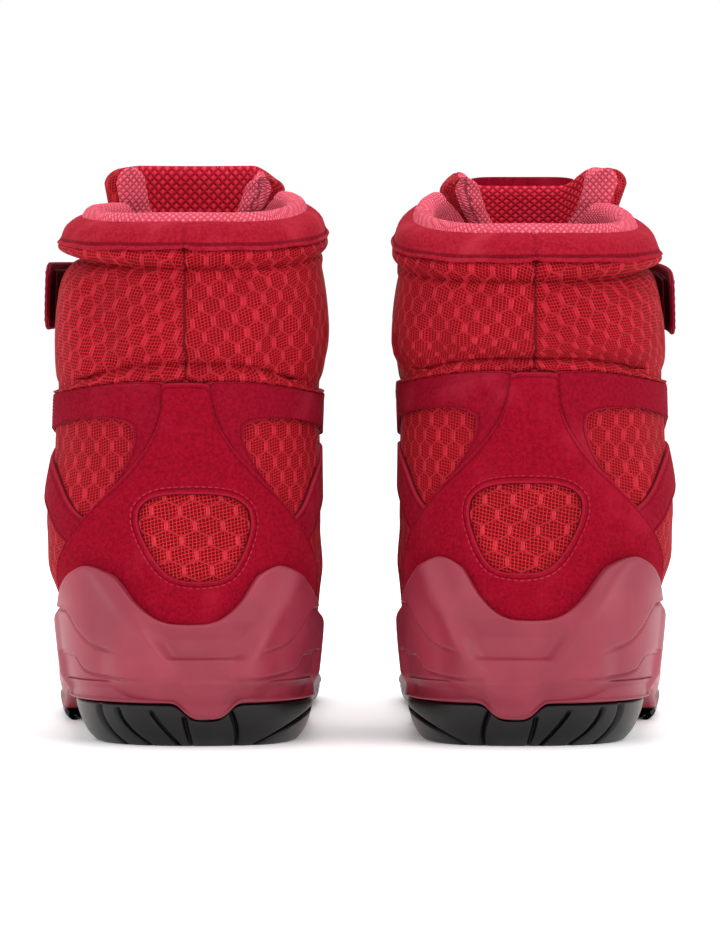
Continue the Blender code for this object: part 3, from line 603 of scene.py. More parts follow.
def panel(near, far, top, middle=8, closed=False):
    """A part between two lines of (c, z) with as many points; rows go from near to far."""
    near_points, far_points = place(near[:, 0], near[:, 1], top), place(far[:, 0], far[:, 1], top)
    width = np.linalg.norm(far_points - near_points, axis=1)
    scale = np.minimum(1, width / (2 * ROLL[-1] + 1))
    start = ROLL[:, None] * scale
    inner = start[-1] + (width - 2 * start[-1]) * np.linspace(0, 1, middle + 2)[1:-1, None]
    distance = np.concatenate([start, inner, width - start[::-1]])
    share = distance / width
    c = near[:, 0] + (far[:, 0] - near[:, 0]) * share
    z = near[:, 1] + (far[:, 1] - near[:, 1]) * share
    out = np.minimum(rolled(distance, top), rolled(width - distance, top))
    # edge places the suede's painted shadow at the rim, its painted highlight on the rounded edge and its
    # painted shade in the sewn groove
    edge = np.exp(-np.minimum(distance, width - distance) / 0.9)
    out[0] = out[-1] = PANEL_FOOT
    if not closed:
        out[:, 0] = out[:, -1] = PANEL_FOOT
    return {"points": place(c, z, out), "faces": quads(*c.shape, closed), "edge": edge,
            "cloth": (heel_arc(c, z), z)}


def inset(near, far, distance, top):
    """The line at a distance from near, towards far, measured on the surface."""
    width = np.linalg.norm(place(far[:, 0], far[:, 1], top) - place(near[:, 0], near[:, 1], top), axis=1)
    return near + (far - near) * (distance / width)[:, None]


# The sole


def sole_point(c, z, out):
    """A point of a sole: its outline is taken at one height of the last, then moved to z."""
    c, z, out = np.broadcast_arrays(*(np.asarray(v, float) for v in (c, z, out)))
    points = place(c, np.maximum(z, SOLE_LEVEL), out)
    points[..., 2] = z
    return points


def plate(points_at, first, last, columns, rows=14):
    """A part that spans a sole from its outer to its inner side, between two turns from the heel."""
    turns = np.linspace(first, last, columns)
    share = np.linspace(0, 1, rows)[:, None, None]
    outer, inner = points_at(turns), points_at(-turns)
    points = inner * (1 - share) + outer * share
    return {"points": points, "faces": quads(rows, columns), "cloth": (points[..., 0], points[..., 1])}


# Heights on the midsole's heel of its two moulded steps, over the distance from the centre line
STEP_UPPER = Curve((22, 32.6), (28, 33.4), (33, 35.2), (38, 39), (42, 43.4), (46, 45.8), (62, 45.6),
                   (95, 38.5), (130, 32), (180, 27), (320, 20))
STEP_LOWER = Curve((10, 23), (22, 23.4), (33, 24.4), (38, 25.6), (41, 28.2), (45, 30.8), (62, 31), (95, 25.5),
                   (130, 21), (180, 17), (320, 13))
RIDGE_SPREAD = Curve((8, 9.2), (14, 9), (19, 8.2), (24, 8.6), (29, 11.2), (37, 16), (48, 22.5), (56, 26.5),
                     (61, 29))
SCOOP_DEPTH = Curve((9, 0.0), (17, 0.1), (21.5, 0.5), (23.5, 1.5), (29.4, 1.5), (30.8, 3.5), (35, 3.7),
                    (39, 2.6), (42.5, 1.1))


def step(curve, reach, z, start, end):
    """A moulded step under a line, with a fine groove where it starts."""
    slope = curve(reach + 0.5) - curve(reach - 0.5)
    above = (z - curve(reach)) / np.sqrt(1 + slope**2)
    fade = smoothstep(start, end, reach) * smoothstep(60, 54, reach)
    groove = 0.9 * np.exp(-(((above + 0.3) / 0.5) ** 2))
    return fade * (1.2 * (smoothstep(-0.5, 0.5, above) - 1) - groove)


def moulding(c, z):
    """How far the midsole's surface stands proud of its cup: lobes, ridges, scoop and steps."""
    arc = heel_arc(c, SOLE_LEVEL + 0 * z)
    reach = np.abs(arc)
    x = on_last(c, np.maximum(z, SOLE_LEVEL))[..., 0] - lean(z)
    spread = RIDGE_SPREAD(z)
    scoop = smoothstep(1.12, 0.72, np.abs(x) / spread) * SCOOP_DEPTH(z)
    crest = 1.1 * np.exp(-(((np.abs(x) - spread - 1.5) / 3.2) ** 2)) * smoothstep(18, 26, z)
    lobe = 0.7 * np.exp(-(((reach - 37) / 12) ** 2)) * smoothstep(30, 50, z)
    steps = step(STEP_UPPER, reach, z, 18, 30) + step(STEP_LOWER, reach, z, 8, 24)
    slim = 1.3 * smoothstep(90, 170, reach) + 2.2 * smoothstep(80, 140, -arc)
    middle = 1.9 * smoothstep(30, 18, reach) * smoothstep(14, 24, z)
    return crest + lobe + steps + middle - scoop - slim


def widened(c):
    """The heel's inner side is moulded wider than the last there, from 0 to 1."""
    turn = -wrapped(c)
    return smoothstep(0.0, 0.16, turn) * smoothstep(0.45, 0.32, turn)


def underside(c):
    """Height of the seam between midsole and outsoles, round the sole."""
    points = on_last(c, SOLE_LEVEL)
    x, y = points[..., 0], points[..., 1]
    base = np.interp(y, (*ARCH, 175), (OUTSOLE_HEEL, OUTSOLE_FOREFOOT, OUTSOLE_FOREFOOT + 2.2))
    dip = 5.4 * np.exp(-(((x - lean(12.0)) / 8.2) ** 4)) * (y < 40)
    return base - dip - 0.5 * smoothstep(85, 70, y)


def add_midsole(boot):
    columns = 640
    c = (np.arange(columns) / columns * 2)[None, :]
    base, top = underside(c) + 0.35, CUP_RIM(np.abs(wrapped(c)))
    tongue = smoothstep(4.6, 1.5, base - 9.4) * 0.9
    rows = []
    tongue = tongue + 1.9 * widened(c)
    for inwards, up in ((-5.5, 0.0), (-1.5, 0.0), (-0.5, 0.12), (0.3, 0.4), (0.9, 0.9)):
        rows.append((base + up, 1.4 + inwards + tongue))
    for share in np.linspace(0.03, 0.985, 92):
        z = base + (top - base) * share
        flare = 1.4 + 3.6 * smoothstep(0, 9.0, z - underside(c)) + tongue * smoothstep(5, 0, z - base)
        rows.append((z, np.maximum(flare + moulding(c, z), np.where(z > 30, 3.4, 0.9))))
    edge = rows[-1][1]
    lip = ((0.1, 0.2), (0.3, 0.34), (0.55, 0.38), (0.8, 0.25), (0.97, -0.1), (1.0, -0.6), (1.0, -3))
    for share, up in lip:
        rows.append((top + up, edge + (2.9 - edge) * share))
    z = np.concatenate([np.broadcast_to(row[0], c.shape) for row in rows])
    out = np.concatenate([np.broadcast_to(row[1], c.shape) for row in rows])
    wall = {"points": sole_point(c + 0 * z, z, out), "faces": quads(*z.shape, True)}

    def bed(turns):
        return sole_point(turns, FOOTBED(on_last(turns, SOLE_LEVEL)[..., 1]), 2.9)

    def bottom(turns):
        return sole_point(turns, underside(turns) + 0.35, -4.1)

    under = plate(bottom, 0, 1, 160)
    under["faces"] = under["faces"][:, ::-1]
    boot.piece("midsole_body", [wall, plate(bed, 0, 1, 160), under], "midsole", "midsole", ["midsole"])


SIPES = (((31.3, 13.6), (29.3, 4.2), 3.5), ((25, 12.8), (20.3, 4.0), 4.5), ((13.7, 12), (6.3, 2.5), 2.0),
         ((2, 10.3), (0, 2.0), 1.0), ((-13.3, 12.5), (-17.3, 2.5), -1.5), ((-40.3, 12.4), (-28.7, 4.0), 0.0))


def sipes(z, x, reach):
    """Depth of the slanting grooves cut in the heel's wall."""
    depth = np.zeros_like(z)
    for (x0, z0), (x1, z1), curl in SIPES:
        share = np.clip((z0 - z) / (z0 - z1), 0, 1.4)
        line = x0 + (x1 - x0) * share + curl * share * (1 - share)
        near = np.exp(-(((x - line) / 0.7) ** 2)) * (reach < 62)
        depth = np.maximum(depth, near * smoothstep(z0 + 0.6, z0 - 0.8, z))
    for start in range(70, 320, 16):
        line = start + (12 - z) * 0.7
        near = np.exp(-(((reach - line) / 0.75) ** 2)) * smoothstep(13, 11.5, z)
        depth = np.maximum(depth, near)
    return 2.3 * depth


def add_outsoles(boot):
    """Heel and forefoot outsoles: a wall with grooves, and a tread cut in the underside."""
    arch_turns = [float(np.round(at_y(1, y, SOLE_LEVEL) * 28) / 28) for y in ARCH]

    def built(name, first, last, profile, columns, node):
        outer = np.linspace(first, last, columns)
        heel = node == "outsole_heel"
        if heel:
            c = np.concatenate([-outer[::-1][:-1], outer])[None, :]
        else:
            c = np.concatenate([outer, 2 - outer[::-1][1:]])[None, :]
        seam = underside(c)
        share, out = (np.array(values)[:, None] for values in zip(*profile))
        z = seam * share
        x = on_last(c, SOLE_LEVEL)[..., 0] + 0 * z
        reach = np.abs(heel_arc(c, SOLE_LEVEL + 0 * c)) + 0 * z
        cut = sipes(z, x, reach) if heel else 0.8 * sipes(z + 6, x, reach)
        if heel:
            out = out + widened(c) * (4.6 - 1.4 * share)
        wall = {"points": sole_point(c, z, out - cut), "faces": quads(*z.shape)}

        def ground(turns):
            wider = 4.6 * widened(turns) if heel else 0.0
            return sole_point(turns, 0.0, profile[0][1] + wider)

        def cap(turns):
            return sole_point(turns, underside(turns) + 0.1, profile[-1][1])

        under, above = plate(ground, first, last, 90, 60), plate(cap, first, last, 60)
        spots = under["points"]
        across, along = spots[..., 0], spots[..., 1]
        wave = (along + 0.5 * np.abs(across)) % 15.0
        channel = np.exp(-(((wave - 7.5) / 1.1) ** 2)) + np.exp(-((across / 1.4) ** 2))
        spots[..., 2] += 1.8 * np.minimum(channel, 1)
        under["faces"] = under["faces"][:, ::-1]
        boot.piece(name, [wall, under, above], "rubber", "rubber", [node])

    heel = [(0.0, -8.2), (0.02, -7.2), (0.08, -6.2), (0.18, -4.9), (0.3, -3.7), (0.42, -2.8), (0.55, -2.0),
            (0.68, -1.3), (0.8, -0.8), (0.9, -0.5), (0.955, -0.5), (0.985, -0.9), (0.997, -1.6), (1.0, -3.5)]
    fine = [(s, np.interp(s, *zip(*heel))) for s in np.linspace(0.0, 0.955, 34)]
    built("outsole_heel_tread", 0, arch_turns[0], fine + heel[-3:], 330, "outsole_heel")
    front = [(0.0, -0.6), (0.1, 0.4), (0.3, 1.6), (0.5, 2.2), (0.75, 2.6), (0.93, 2.6), (0.99, 2.1),
             (1.0, 0.0)]
    built("outsole_forefoot_tread", arch_turns[1], 1, front, 300, "outsole_forefoot")


def add_sockliner(boot):
    def level(height, out):
        return lambda turns: sole_point(turns, FOOTBED(on_last(turns, SOLE_LEVEL)[..., 1]) + height, out)

    above, below = plate(level(6.1, -8.2), 0, 1, 120, 40), plate(level(2.6, -7.6), 0, 1, 120, 12)
    share = np.abs(np.linspace(-1, 1, 40))[:, None]
    above["points"][..., 2] += 1.6 * share**4 - 0.6
    below["faces"] = below["faces"][:, ::-1]
    c = np.linspace(0, 2, 361)[None, :]
    z = FOOTBED(on_last(c, SOLE_LEVEL)[..., 1]) + np.array([[2.6], [4.4], [6.4], [7.1]])
    out = np.array([[-7.6], [-7.3], [-7.5], [-8.2]]) + 0 * c
    side = {"points": sole_point(c, z, out), "faces": quads(*z.shape)}
    side["cloth"] = (heel_arc(c, SOLE_LEVEL + 0 * z), z)
    boot.piece("insole", [above, below, side], "lining", "lining", ["sockliner"])


# The upper's mesh


def honeycomb(u, v, wide, tall, side):
    """Distance to the nearest border of the same honeycomb as the material's."""
    slope = (tall - 2 * side) / (wide / 2)
    x, y = np.abs(u % wide - wide / 2), np.abs(v % (2 * tall) - tall)
    fall = x * slope + y - (tall - side)
    upright = np.where(fall > 0, x, wide / 2 - x)
    return np.minimum(np.abs(fall) / math.hypot(1, slope), upright)


def fullness(z):
    """How far the mesh swells out beside the heel, just above the midsole."""
    return 2.3 * smoothstep(34, 44, z) * smoothstep(72, 56, z)


def add_heel_mesh(boot):
    arcs = np.concatenate([np.arange(-78, -24, 2.0), np.arange(-24, 24, 0.5), np.arange(24, 79, 2.0)])
    z = np.concatenate([np.arange(26, 52, 2.0), np.arange(52, 89, 0.5), np.arange(89, 124, 2.0)])[:, None]
    shifted = arcs + lean(z) * np.exp(-((arcs / 40) ** 4))
    c = from_heel(shifted, z + 0 * shifted)
    inside = np.clip(1 - (arcs / 21) ** 2, 0, 1) * np.clip(1 - ((z - 71) / 19) ** 2, 0, 1)
    out = -0.1 + 1.5 * np.sqrt(inside) + fullness(z) * smoothstep(52, 72, np.abs(arcs))
    strand = honeycomb(arcs + 0 * z, z + 0 * arcs, *WINDOW_CELL)
    out = out + 0.3 * smoothstep(0.8, 0.3, strand) * (inside > 0)
    part = surface(c, z, out, (arcs + 0 * z, z + 0 * arcs))
    rows, columns = np.divmod(part["faces"][:, 0], c.shape[1])
    window = (np.abs(arcs[columns]) < 24) & (z[rows, 0] > 50) & (z[rows, 0] < 89)
    around = {**part, "faces": part["faces"][~window], "material": "mesh"}
    part["faces"] = part["faces"][window]
    weld(boot.piece("heel_mesh_cloth", [part, around], "mesh_heel", "mesh", ["heel_mesh"]))


def add_quarters(boot):
    for side, name in ((1, "lateral"), (-1, "medial")):
        z = np.arange(16, 120, 1.2)[:, None]
        first = 0.27 if side > 0 else 2 - 0.27
        low = at_y(side, VAMP_SEAM(z), z)
        front = np.where(z < 78.5, low, throat_edge(side, np.maximum(z, 78.5), 0.3))
        share = np.linspace(0, 1, 90)[None, :]
        c = first + (front - first) * share
        z = np.maximum(z, upper_base(c)) + 0 * c
        z[-1] = seam_height(c[-1]) + 1.0
        z = np.minimum(z, seam_height(c) + 1.0)
        puff = 0.9 * smoothstep(30, 60, z) * smoothstep(118, 96, z) * np.sin(np.pi * share) ** 0.6
        puff = puff + fullness(z) * smoothstep(0.6, 0.2, share)
        sunk = 1.3 * smoothstep(0.06, 0.0, share)
        part = surface(c, z, 0.1 + puff - sunk, (heel_arc(c, z), z))
        if side < 0:
            part["faces"] = part["faces"][:, ::-1]
        boot.piece(f"quarter_{name}_cloth", [part], "mesh", "mesh", [f"quarter_mesh_{name}"])


def add_vamp(boot):
    z = np.concatenate([np.arange(15, 50, 1.5), np.arange(50, 77.6, 0.4)])[:, None]
    ends = [at_y(side, VAMP_SEAM(z) - 0.5, z) for side in (1, -1)]
    c = ends[0] + (ends[1] - ends[0]) * np.linspace(0, 1, 150)[None, :]
    z = np.maximum(z, upper_base(c))
    points = on_last(c, z)
    boot.piece("vamp_cloth", [surface(c, z, 0.0, (points[..., 0], points[..., 1] - z))], "mesh", "mesh",
               ["vamp_mesh"])


def add_lining(boot):
    """Rises from the footbed over the padding, and rolls over the rim."""
    rows = []
    for z in np.concatenate([np.arange(24, 112, 4.0), np.arange(112, 160, 3.0)]):
        depth = -5.4 - 5.2 * float(smoothstep(106, 130, z))
        ends = []
        for side in (1, -1):
            if z < 78.5:
                ends.append(float(at_y(side, VAMP_SEAM(z) - 3, z)))
            else:
                ends.append(float(throat_edge(side, z, 3.0)))
        c = np.linspace(ends[1] - 2, ends[0], 260)
        rows.append((c, np.maximum(z, upper_base(c) + 1), depth + 0 * c))
    shape = ((20, -10.6), (14, -10.8), (9, -11.2), (5, -11.4), (2, -11.2), (0.2, -10.6), (-1.2, -9.6),
             (-2.1, -8.2), (-2.4, -6.8), (-2.1, -5.4), (-1.2, -4.2), (0.2, -3.4), (1.8, -3.0), (3.6, -2.9),
             (6.0, -3.0))
    for below, depth in shape:
        ends = [float(throat_edge(side, rim(0.9 * side) - max(below, 0), 1.5)) for side in (1, -1)]
        c = np.linspace(ends[1] - 2, ends[0], 260)
        rows.append((c, rim(c) - below, depth + side_lean(c, 2.0)))
    c, z, out = (np.stack([row[i] for row in rows]) for i in range(3))
    points = place(c, z, out)
    run = np.concatenate([np.zeros((1, c.shape[1])),
                          np.cumsum(np.linalg.norm(np.diff(points, axis=0), axis=2), axis=0)])
    part = {"points": points, "faces": quads(*c.shape), "cloth": (heel_arc(c, z), run)}
    boot.piece("lining_cloth", [part], "lining", "lining", ["lining"], padded=0.5)


# The padded collar


def side_lean(c, amount, inner=0.0):
    """The outer side of the collar's top leans in by amount, and the inner side by inner."""
    c = wrapped(c)
    return -amount * smoothstep(0.05, 0.35, c) - inner * smoothstep(0.05, 0.35, -c)


def collar_ends(height, back=0.4):
    """Where a row round the collar, whose height is a function of c, meets the throat."""
    return [float(throat_edge(side, height(0.7 * side), back)) for side in (1, -1)]


def collar_spots(low, high, share, columns):
    """c and z of a row between two heights round the collar."""
    ends = collar_ends(lambda c: low(c) + (high(c) - low(c)) * share)
    c = np.linspace(ends[1] - 2, ends[0], columns)
    return c, low(c) + (high(c) - low(c)) * share


def slanted_cloth(arc, z):
    """The two halves of a roll are cut with their meshes slanting in opposite ways."""
    turn = np.where(arc > lean(z), -0.42, 0.12)
    stretch = np.where(arc > lean(z), 1.12, 0.95)
    u = (arc * np.cos(turn) - z * np.sin(turn)) * stretch
    v = (arc * np.sin(turn) + z * np.cos(turn)) / stretch
    return u, v


def lower_groove(c):
    return seam_height(c) + 1.9 + 3.6 * smoothstep(0.36, 0.04, np.abs(wrapped(c)))


def upper_groove(c):
    return rim(c) - 17.2 + 1.6 * smoothstep(0.05, 0.3, wrapped(c))


CLOTH_PRESSURE, CLOTH_FRAMES = 4.0, 20


def inflate(made, pinned, cap):
    """Blows a padded piece up as cloth held at its seams, moving no point further than cap."""
    before = np.zeros(len(made.data.vertices) * 3)
    made.data.vertices.foreach_get("co", before)
    group = made.vertex_groups.new(name="seams")
    group.add([int(i) for i in pinned], 1.0, "REPLACE")
    cloth = made.modifiers.new("cloth", "CLOTH")
    cloth.settings.quality = 6
    cloth.settings.mass = 0.2
    cloth.settings.tension_stiffness = cloth.settings.compression_stiffness = 12
    cloth.settings.shear_stiffness = 6
    cloth.settings.bending_stiffness = 0.3
    cloth.settings.use_pressure = True
    cloth.settings.uniform_pressure_force = CLOTH_PRESSURE
    cloth.settings.vertex_group_mass = "seams"
    cloth.settings.shrink_min = -0.05
    cloth.settings.effector_weights.gravity = 0
    cloth.collision_settings.use_collision = False
    cloth.point_cache.frame_start, cloth.point_cache.frame_end = 1, CLOTH_FRAMES
    scene = bpy.context.scene
    for step in range(1, CLOTH_FRAMES + 1):
        scene.frame_set(step)
    graph = bpy.context.evaluated_depsgraph_get()
    after = np.zeros_like(before)
    made.evaluated_get(graph).data.vertices.foreach_get("co", after)
    made.modifiers.remove(cloth)
    made.vertex_groups.remove(group)
    scene.frame_set(1)
    moved = (after - before).reshape(-1, 3)
    length = np.linalg.norm(moved, axis=1, keepdims=True)
    moved *= np.minimum(1, cap / 1000 / np.maximum(length, 1e-9))
    made.data.vertices.foreach_set("co", (before.reshape(-1, 3) + moved).ravel())
    made.data.update()


def subdivided(made, levels=2):
    """Applies a subdivision surface, so that the piece's mesh is final."""
    extra = made.modifiers.new("smooth", "SUBSURF")
    extra.levels = extra.render_levels = levels
    graph = bpy.context.evaluated_depsgraph_get()
    mesh = bpy.data.meshes.new_from_object(made.evaluated_get(graph), depsgraph=graph)
    made.modifiers.remove(extra)
    made.data = mesh
    mesh.shade_smooth()


def add_collar(boot):
    """A wide padded roll between a low crescent and a small roll, with a seam at the heel."""
    columns = 121
    rows, held = [], []
    bands = (
        (lambda c: seam_height(c) - 1.5, seam_height, (0, 1), -0.4, 0.6, 0.0),
        (seam_height, lower_groove, (0.15, 0.4, 0.65, 0.88), 0.9, -2.6, 2.6),
        (lower_groove, upper_groove, None, -2.6, -4.8, 0.0),
        (upper_groove, lambda c: rim(c) - 10.6, (0.1, 0.3, 0.6, 0.85, 1.0), -4.8, 0.4, 3.4),
    )
    for low, high, shares, start, end, bulge in bands:
        roll = shares is None
        spots = np.concatenate([[0, 0.015, 0.05, 0.1], np.linspace(0.17, 0.83, 13), [0.9, 0.95, 0.985, 1]])
        for share in spots if roll else shares:
            c, z = collar_spots(low, high, share, columns)
            out = start + (end - start) * share + bulge * math.sin(math.pi * share)
            if roll:
                fat = np.sin(np.pi * share) ** 0.3
                out = start + (end - start) * share + 3.6 * fat
                out = out + side_lean(c, 3.2, -3.2) * smoothstep(0.9, 1.0, share)
                out = out + side_lean(c, 0.4) * fat
            else:
                top = low is upper_groove
                out = out + side_lean(c, 3.2 * top * (share < 0.3), -3.2 * top) * (1 - share)
            rows.append((c, z, out))
            held.append(not roll or share in (0, 0.015, 0.985, 1))
    c, z, out = (np.stack([np.broadcast_to(row[i], columns) for row in rows]) for i in range(3))
    seam = np.exp(-((heel_arc(c, z) - lean(z)) / 2.2) ** 2)
    out = out - 0.9 * seam
    part = surface(c, z, out)
    made = boot.piece("collar_roll", [part], "mesh", "mesh", ["collar_cover", "collar_foam"], padded=0.8)
    pinned = np.zeros(c.shape, bool)
    pinned[np.array(held)] = True
    pinned[:, :2] = pinned[:, -2:] = True
    pinned |= seam > 0.6
    inflate(made, np.flatnonzero(pinned.ravel()), 1.4)
    subdivided(made)
    layout = np.zeros(len(made.data.vertices) * 3)
    made.data.attributes["cloth"].data.foreach_get("vector", layout)
    layout = layout.reshape(-1, 3)
    arc, z = layout[:, 0].copy(), layout[:, 1].copy()
    layout[:, 0], layout[:, 1] = slanted_cloth(arc, z)
    made.data.attributes["cloth"].data.foreach_set("vector", layout.ravel())
    groove = np.exp(-(((arc - lean(z)) / 0.7) ** 2))
    spots = np.zeros(len(arc) * 3)
    made.data.vertices.foreach_get("co", spots)
    inward = -normal_at(from_heel(arc, np.clip(z, 14, 198)), z) * groove[:, None] / 1000
    inward[:, 0] *= boot.side
    made.data.vertices.foreach_set("co", (spots.reshape(-1, 3) + inward).ravel())


def add_binding(boot):
    """Suede binding: its lower edge is raw and stands out, its top leans in over the lining."""
    columns = 420
    shape = ((10.2, -0.6), (10.9, 0.4), (11.4, 1.7), (11.5, 2.5), (11.3, 2.95), (10.8, 2.9), (10.0, 2.45),
             (9.0, 2.2), (7.5, 2.05), (6.0, 1.7), (4.8, 1.1), (3.6, 0.1), (2.5, -1.1), (1.6, -2.4), (1.1, -3.4),
             (0.9, -4.2), (1.2, -4.8), (2.4, -5.2))
    rows = []
    for below, out in shape:
        ends = collar_ends(lambda c, below=below: rim(c) - below, 0.5)
        c = np.linspace(ends[1] - 2, ends[0], columns)
        arc = heel_arc(c, 170.0 + 0 * c)
        ripple = 0.25 * np.sin(arc * 0.31) + 0.2 * np.sin(arc * 0.13)
        wave = ripple * smoothstep(8, 11.5, below)
        rows.append((c, rim(c) - below + 0.6 * wave, out + side_lean(c, 1.6) + wave))
    c, z, out = (np.stack([row[i] for row in rows]) for i in range(3))
    seam = (heel_arc(c, z) - lean(z)) / 0.6
    out = out - 1.1 * np.exp(-(seam**2))
    z = z + 0.7 * np.exp(-((seam / 2.2) ** 2)) * (np.arange(len(shape)) < 7)[:, None]
    # edge values: the tucked-under bottom row gets painted shadow, the lip rows a painted highlight, and the
    # rows at the stitch line painted shade
    edge = np.array([0.9, 0.6, 0.5, 0.5, 0.4, 0.3, 0.16, 0.12] + [0.0] * 10)[:, None] + 0 * c
    part = surface(c, z, out, edge=edge)
    boot.piece("binding_strip", [part], "suede_binding", "suede", ["collar_binding"])
    ends = collar_ends(lambda c: rim(c) - 9.6, 3.0)
    c = np.linspace(ends[1] - 2, ends[0], 500)
    boot.stitch(c, rim(c) - 9.6, 2.25 + side_lean(c, 1.6), pitch=2.9)


# The suede panels

HEEL_OUTLINE = ((0, 122.4), (5, 122.3), (7.6, 121.4), (8.0, 117), (9.2, 110), (13, 102), (20, 93),
                (25.5, 87.4), (31, 82), (37, 75.8), (43.5, 69.5), (49.5, 63), (54, 56), (56.5, 49), (56, 43),
                (46, 41), (30, 41), (12, 39), (0, 38.5))
HEEL_WINDOW = ((0, 84.6), (5, 84.5), (9.5, 84.1), (13.2, 83.2), (16.3, 81.4), (18.2, 78.8), (18.6, 75.6),
               (17.9, 71.6), (16.2, 67.2), (14, 63), (11.6, 59.6), (8.4, 57), (4.6, 55.9), (0, 55.6))
BAND_TOP = ((92, 0), (70, 0), (50, 0), (38, 0), (28, 0), (18, 0), (9, 0), (5.5, -1.5), (6.4, -6.5),
            (7.6, -11), (11.4, -20), (18, -29), (24.5, -37), (31, -43))
BAND_FOOT = ((90, 104), (70, 106), (58, 107.2), (48, 108.6), (38, 109.8), (30, 110), (24, 109.4),
             (20.4, 108.2), (18.6, 105.8), (18.7, 103), (20.6, 97), (23.6, 91.4), (27.4, 86.4), (34, 77.8))
# The side strap's two edges: two places beside the heel overlay, then heights further forward
STRAP_EDGES = (((32, 73.5), (38.5, 77.4), 96.5, 100.5, 101), ((43, 66), (48, 69), 81.5, 86.5, 87))


def shifted(side, arc, z):
    """c at a distance to one side of the rear features' own centre line."""
    signed = side * np.asarray(arc, float)
    fade = smoothstep(75, 30, np.abs(signed))
    return from_heel(signed + lean(z) * fade, z)


def beside_heel(side, line):
    arc, z = np.array(line, float).T
    return np.stack([shifted(side, arc, z), z], -1)


def add_heel_overlay(boot):
    loops = []
    for outline in (HEEL_WINDOW, HEEL_OUTLINE):
        half = resampled(outline, 161)
        right, left = beside_heel(1, half), beside_heel(-1, half[1:-1][::-1])
        loops.append(np.concatenate([right, left]))
    window, outline = loops
    part = panel(window, outline, 2.9, closed=True, middle=14)
    boot.piece("heel_overlay_suede", [part], "suede_heel", "suede", ["heel_overlay"])
    line = inset(window, outline, 2.3, 2.9)
    boot.stitch(line[:, 0], line[:, 1], 2.7, pitch=2.2, thread="thread")
    line = inset(outline, window, SEWN_AT, 2.9)
    for piece in (line[5:105], line[-105:-5]):
        boot.stitch(piece[:, 0], piece[:, 1], 2.6)


def add_band(boot, name, side, lines, top):
    """A panel on one side of the boot, sewn along its two lines, which run back from the throat."""
    part = panel(*(lines if side > 0 else lines[::-1]), top)
    boot.piece(f"{name}_suede", [part], "suede", "suede", [name])
    for near, far in (lines, lines[::-1]):
        line = inset(near, far, SEWN_AT, top)
        boot.stitch(line[:, 0], line[:, 1], top - 0.25)


def add_bands(boot):
    for side, name in ((1, "lateral"), (-1, "medial")):
        back = resampled(BAND_TOP, 150)
        c = shifted(side, back[:, 0], np.full(150, 120.0)) % 2
        z = seam_height(c) + back[:, 1]
        top = np.stack([shifted(side, back[:, 0], z) % 2, z], -1)
        foot = beside_heel(side, resampled(BAND_FOOT, 150))
        foot[:, 0] %= 2
        lines = []
        for line, height in ((top, 117.6), (foot, 99.5)):
            front = np.array([[float(throat_edge(side, height, 12.0)), height]])
            lines.append(resampled(np.concatenate([front, line[::6]]), 240))
        add_band(boot, f"ankle_band_{name}", side, lines, 1.9)
        lines = []
        for tail, middle, beside, ankle, eyestay in STRAP_EDGES:
            line = [(float(shifted(side, a, z)) % 2, z) for a, z in (tail, middle)]
            line.append((float(shifted(side, 68, beside)) % 2, beside))
            line.append((float(at_y(side, 95, ankle)), ankle))
            line.append((float(throat_edge(side, eyestay, 12.0)), eyestay))
            lines.append(resampled(line[::-1], 160))
        add_band(boot, f"side_strap_{name}", side, lines, 1.8)


def add_eyestay(boot):
    inner, outer = [], []
    for side in (1, -1):
        rows = []
        for z in (117.5, 112, 106, 100, 94, 89, 85):
            rows.append(((float(throat_edge(side, z, 0.5)), z), (float(throat_edge(side, z, 14.0)), z)))
        for (a0, z0), (a1, z1) in (((9, 80.5), (22, 77.5)), ((6, 79.3), (16, 74)), ((3, 78.7), (8, 71.3))):
            rows.append(((float(from_front(side * a0, z0)), z0), (float(from_front(side * a1, z1)), z1)))
        inner.append([row[0] for row in rows])
        outer.append([row[1] for row in rows])
    inside = resampled(inner[0] + [(1, 78.5)] + inner[1][::-1], 260)
    outside = resampled(outer[0] + [(1, 70.4)] + outer[1][::-1], 260)
    part = panel(outside, inside, 2.9)
    boot.piece("eyestay_suede", [part], "suede", "suede", ["eyestay"])
    for near, far in ((outside, inside), (inside, outside)):
        line = inset(near, far, SEWN_AT, 2.9)
        boot.stitch(line[8:-8, 0], line[8:-8, 1], 2.6)
    rings = []
    for z in EYELET_HEIGHTS:
        for side in (1, -1):
            c = float(throat_edge(side, z, 7.0))
            rings.append(ring_part(place(c, z, 2.8), normal_at(c, z), 2.9, 0.75))
    boot.piece("eyelets", rings, "eyelet", "suede")


def ring_part(middle, normal, radius, thick, around=28, section=10):
    """A small ring that lies flat on the surface."""
    across = np.cross(normal, (0, 0, 1.0))
    across /= np.linalg.norm(across)
    up = np.cross(across, normal)
    turn = np.linspace(0, 2 * np.pi, around, endpoint=False)
    tilt = np.linspace(0, 2 * np.pi, section, endpoint=False)[:, None]
    spoke = np.cos(turn)[:, None] * across + np.sin(turn)[:, None] * up
    reach = (radius + thick * np.cos(tilt))[..., None]
    points = middle + spoke[None] * reach + normal * (thick * 0.7 * np.sin(tilt))[..., None]
    points = np.concatenate([points, points[:1]])
    return {"points": points, "faces": quads(section + 1, around, True)[:, ::-1]}


def add_toe_overlay(boot):
    ends = [float(at_y(side, 212, 22)) for side in (1, -1)]
    c = np.linspace(*ends, 220)
    low = np.stack([c, 19 + 0 * c], -1)
    high = np.stack([c, 29 + 15 * smoothstep(0.27, 0.0, np.abs(1 - c))], -1)
    boot.piece("toe_overlay_suede", [panel(low, high, 2.4)], "suede", "suede", ["toe_overlay"])
    line = inset(high, low, SEWN_AT, 2.4)
    boot.stitch(line[4:-4, 0], line[4:-4, 1], 2.1)


# The tongue


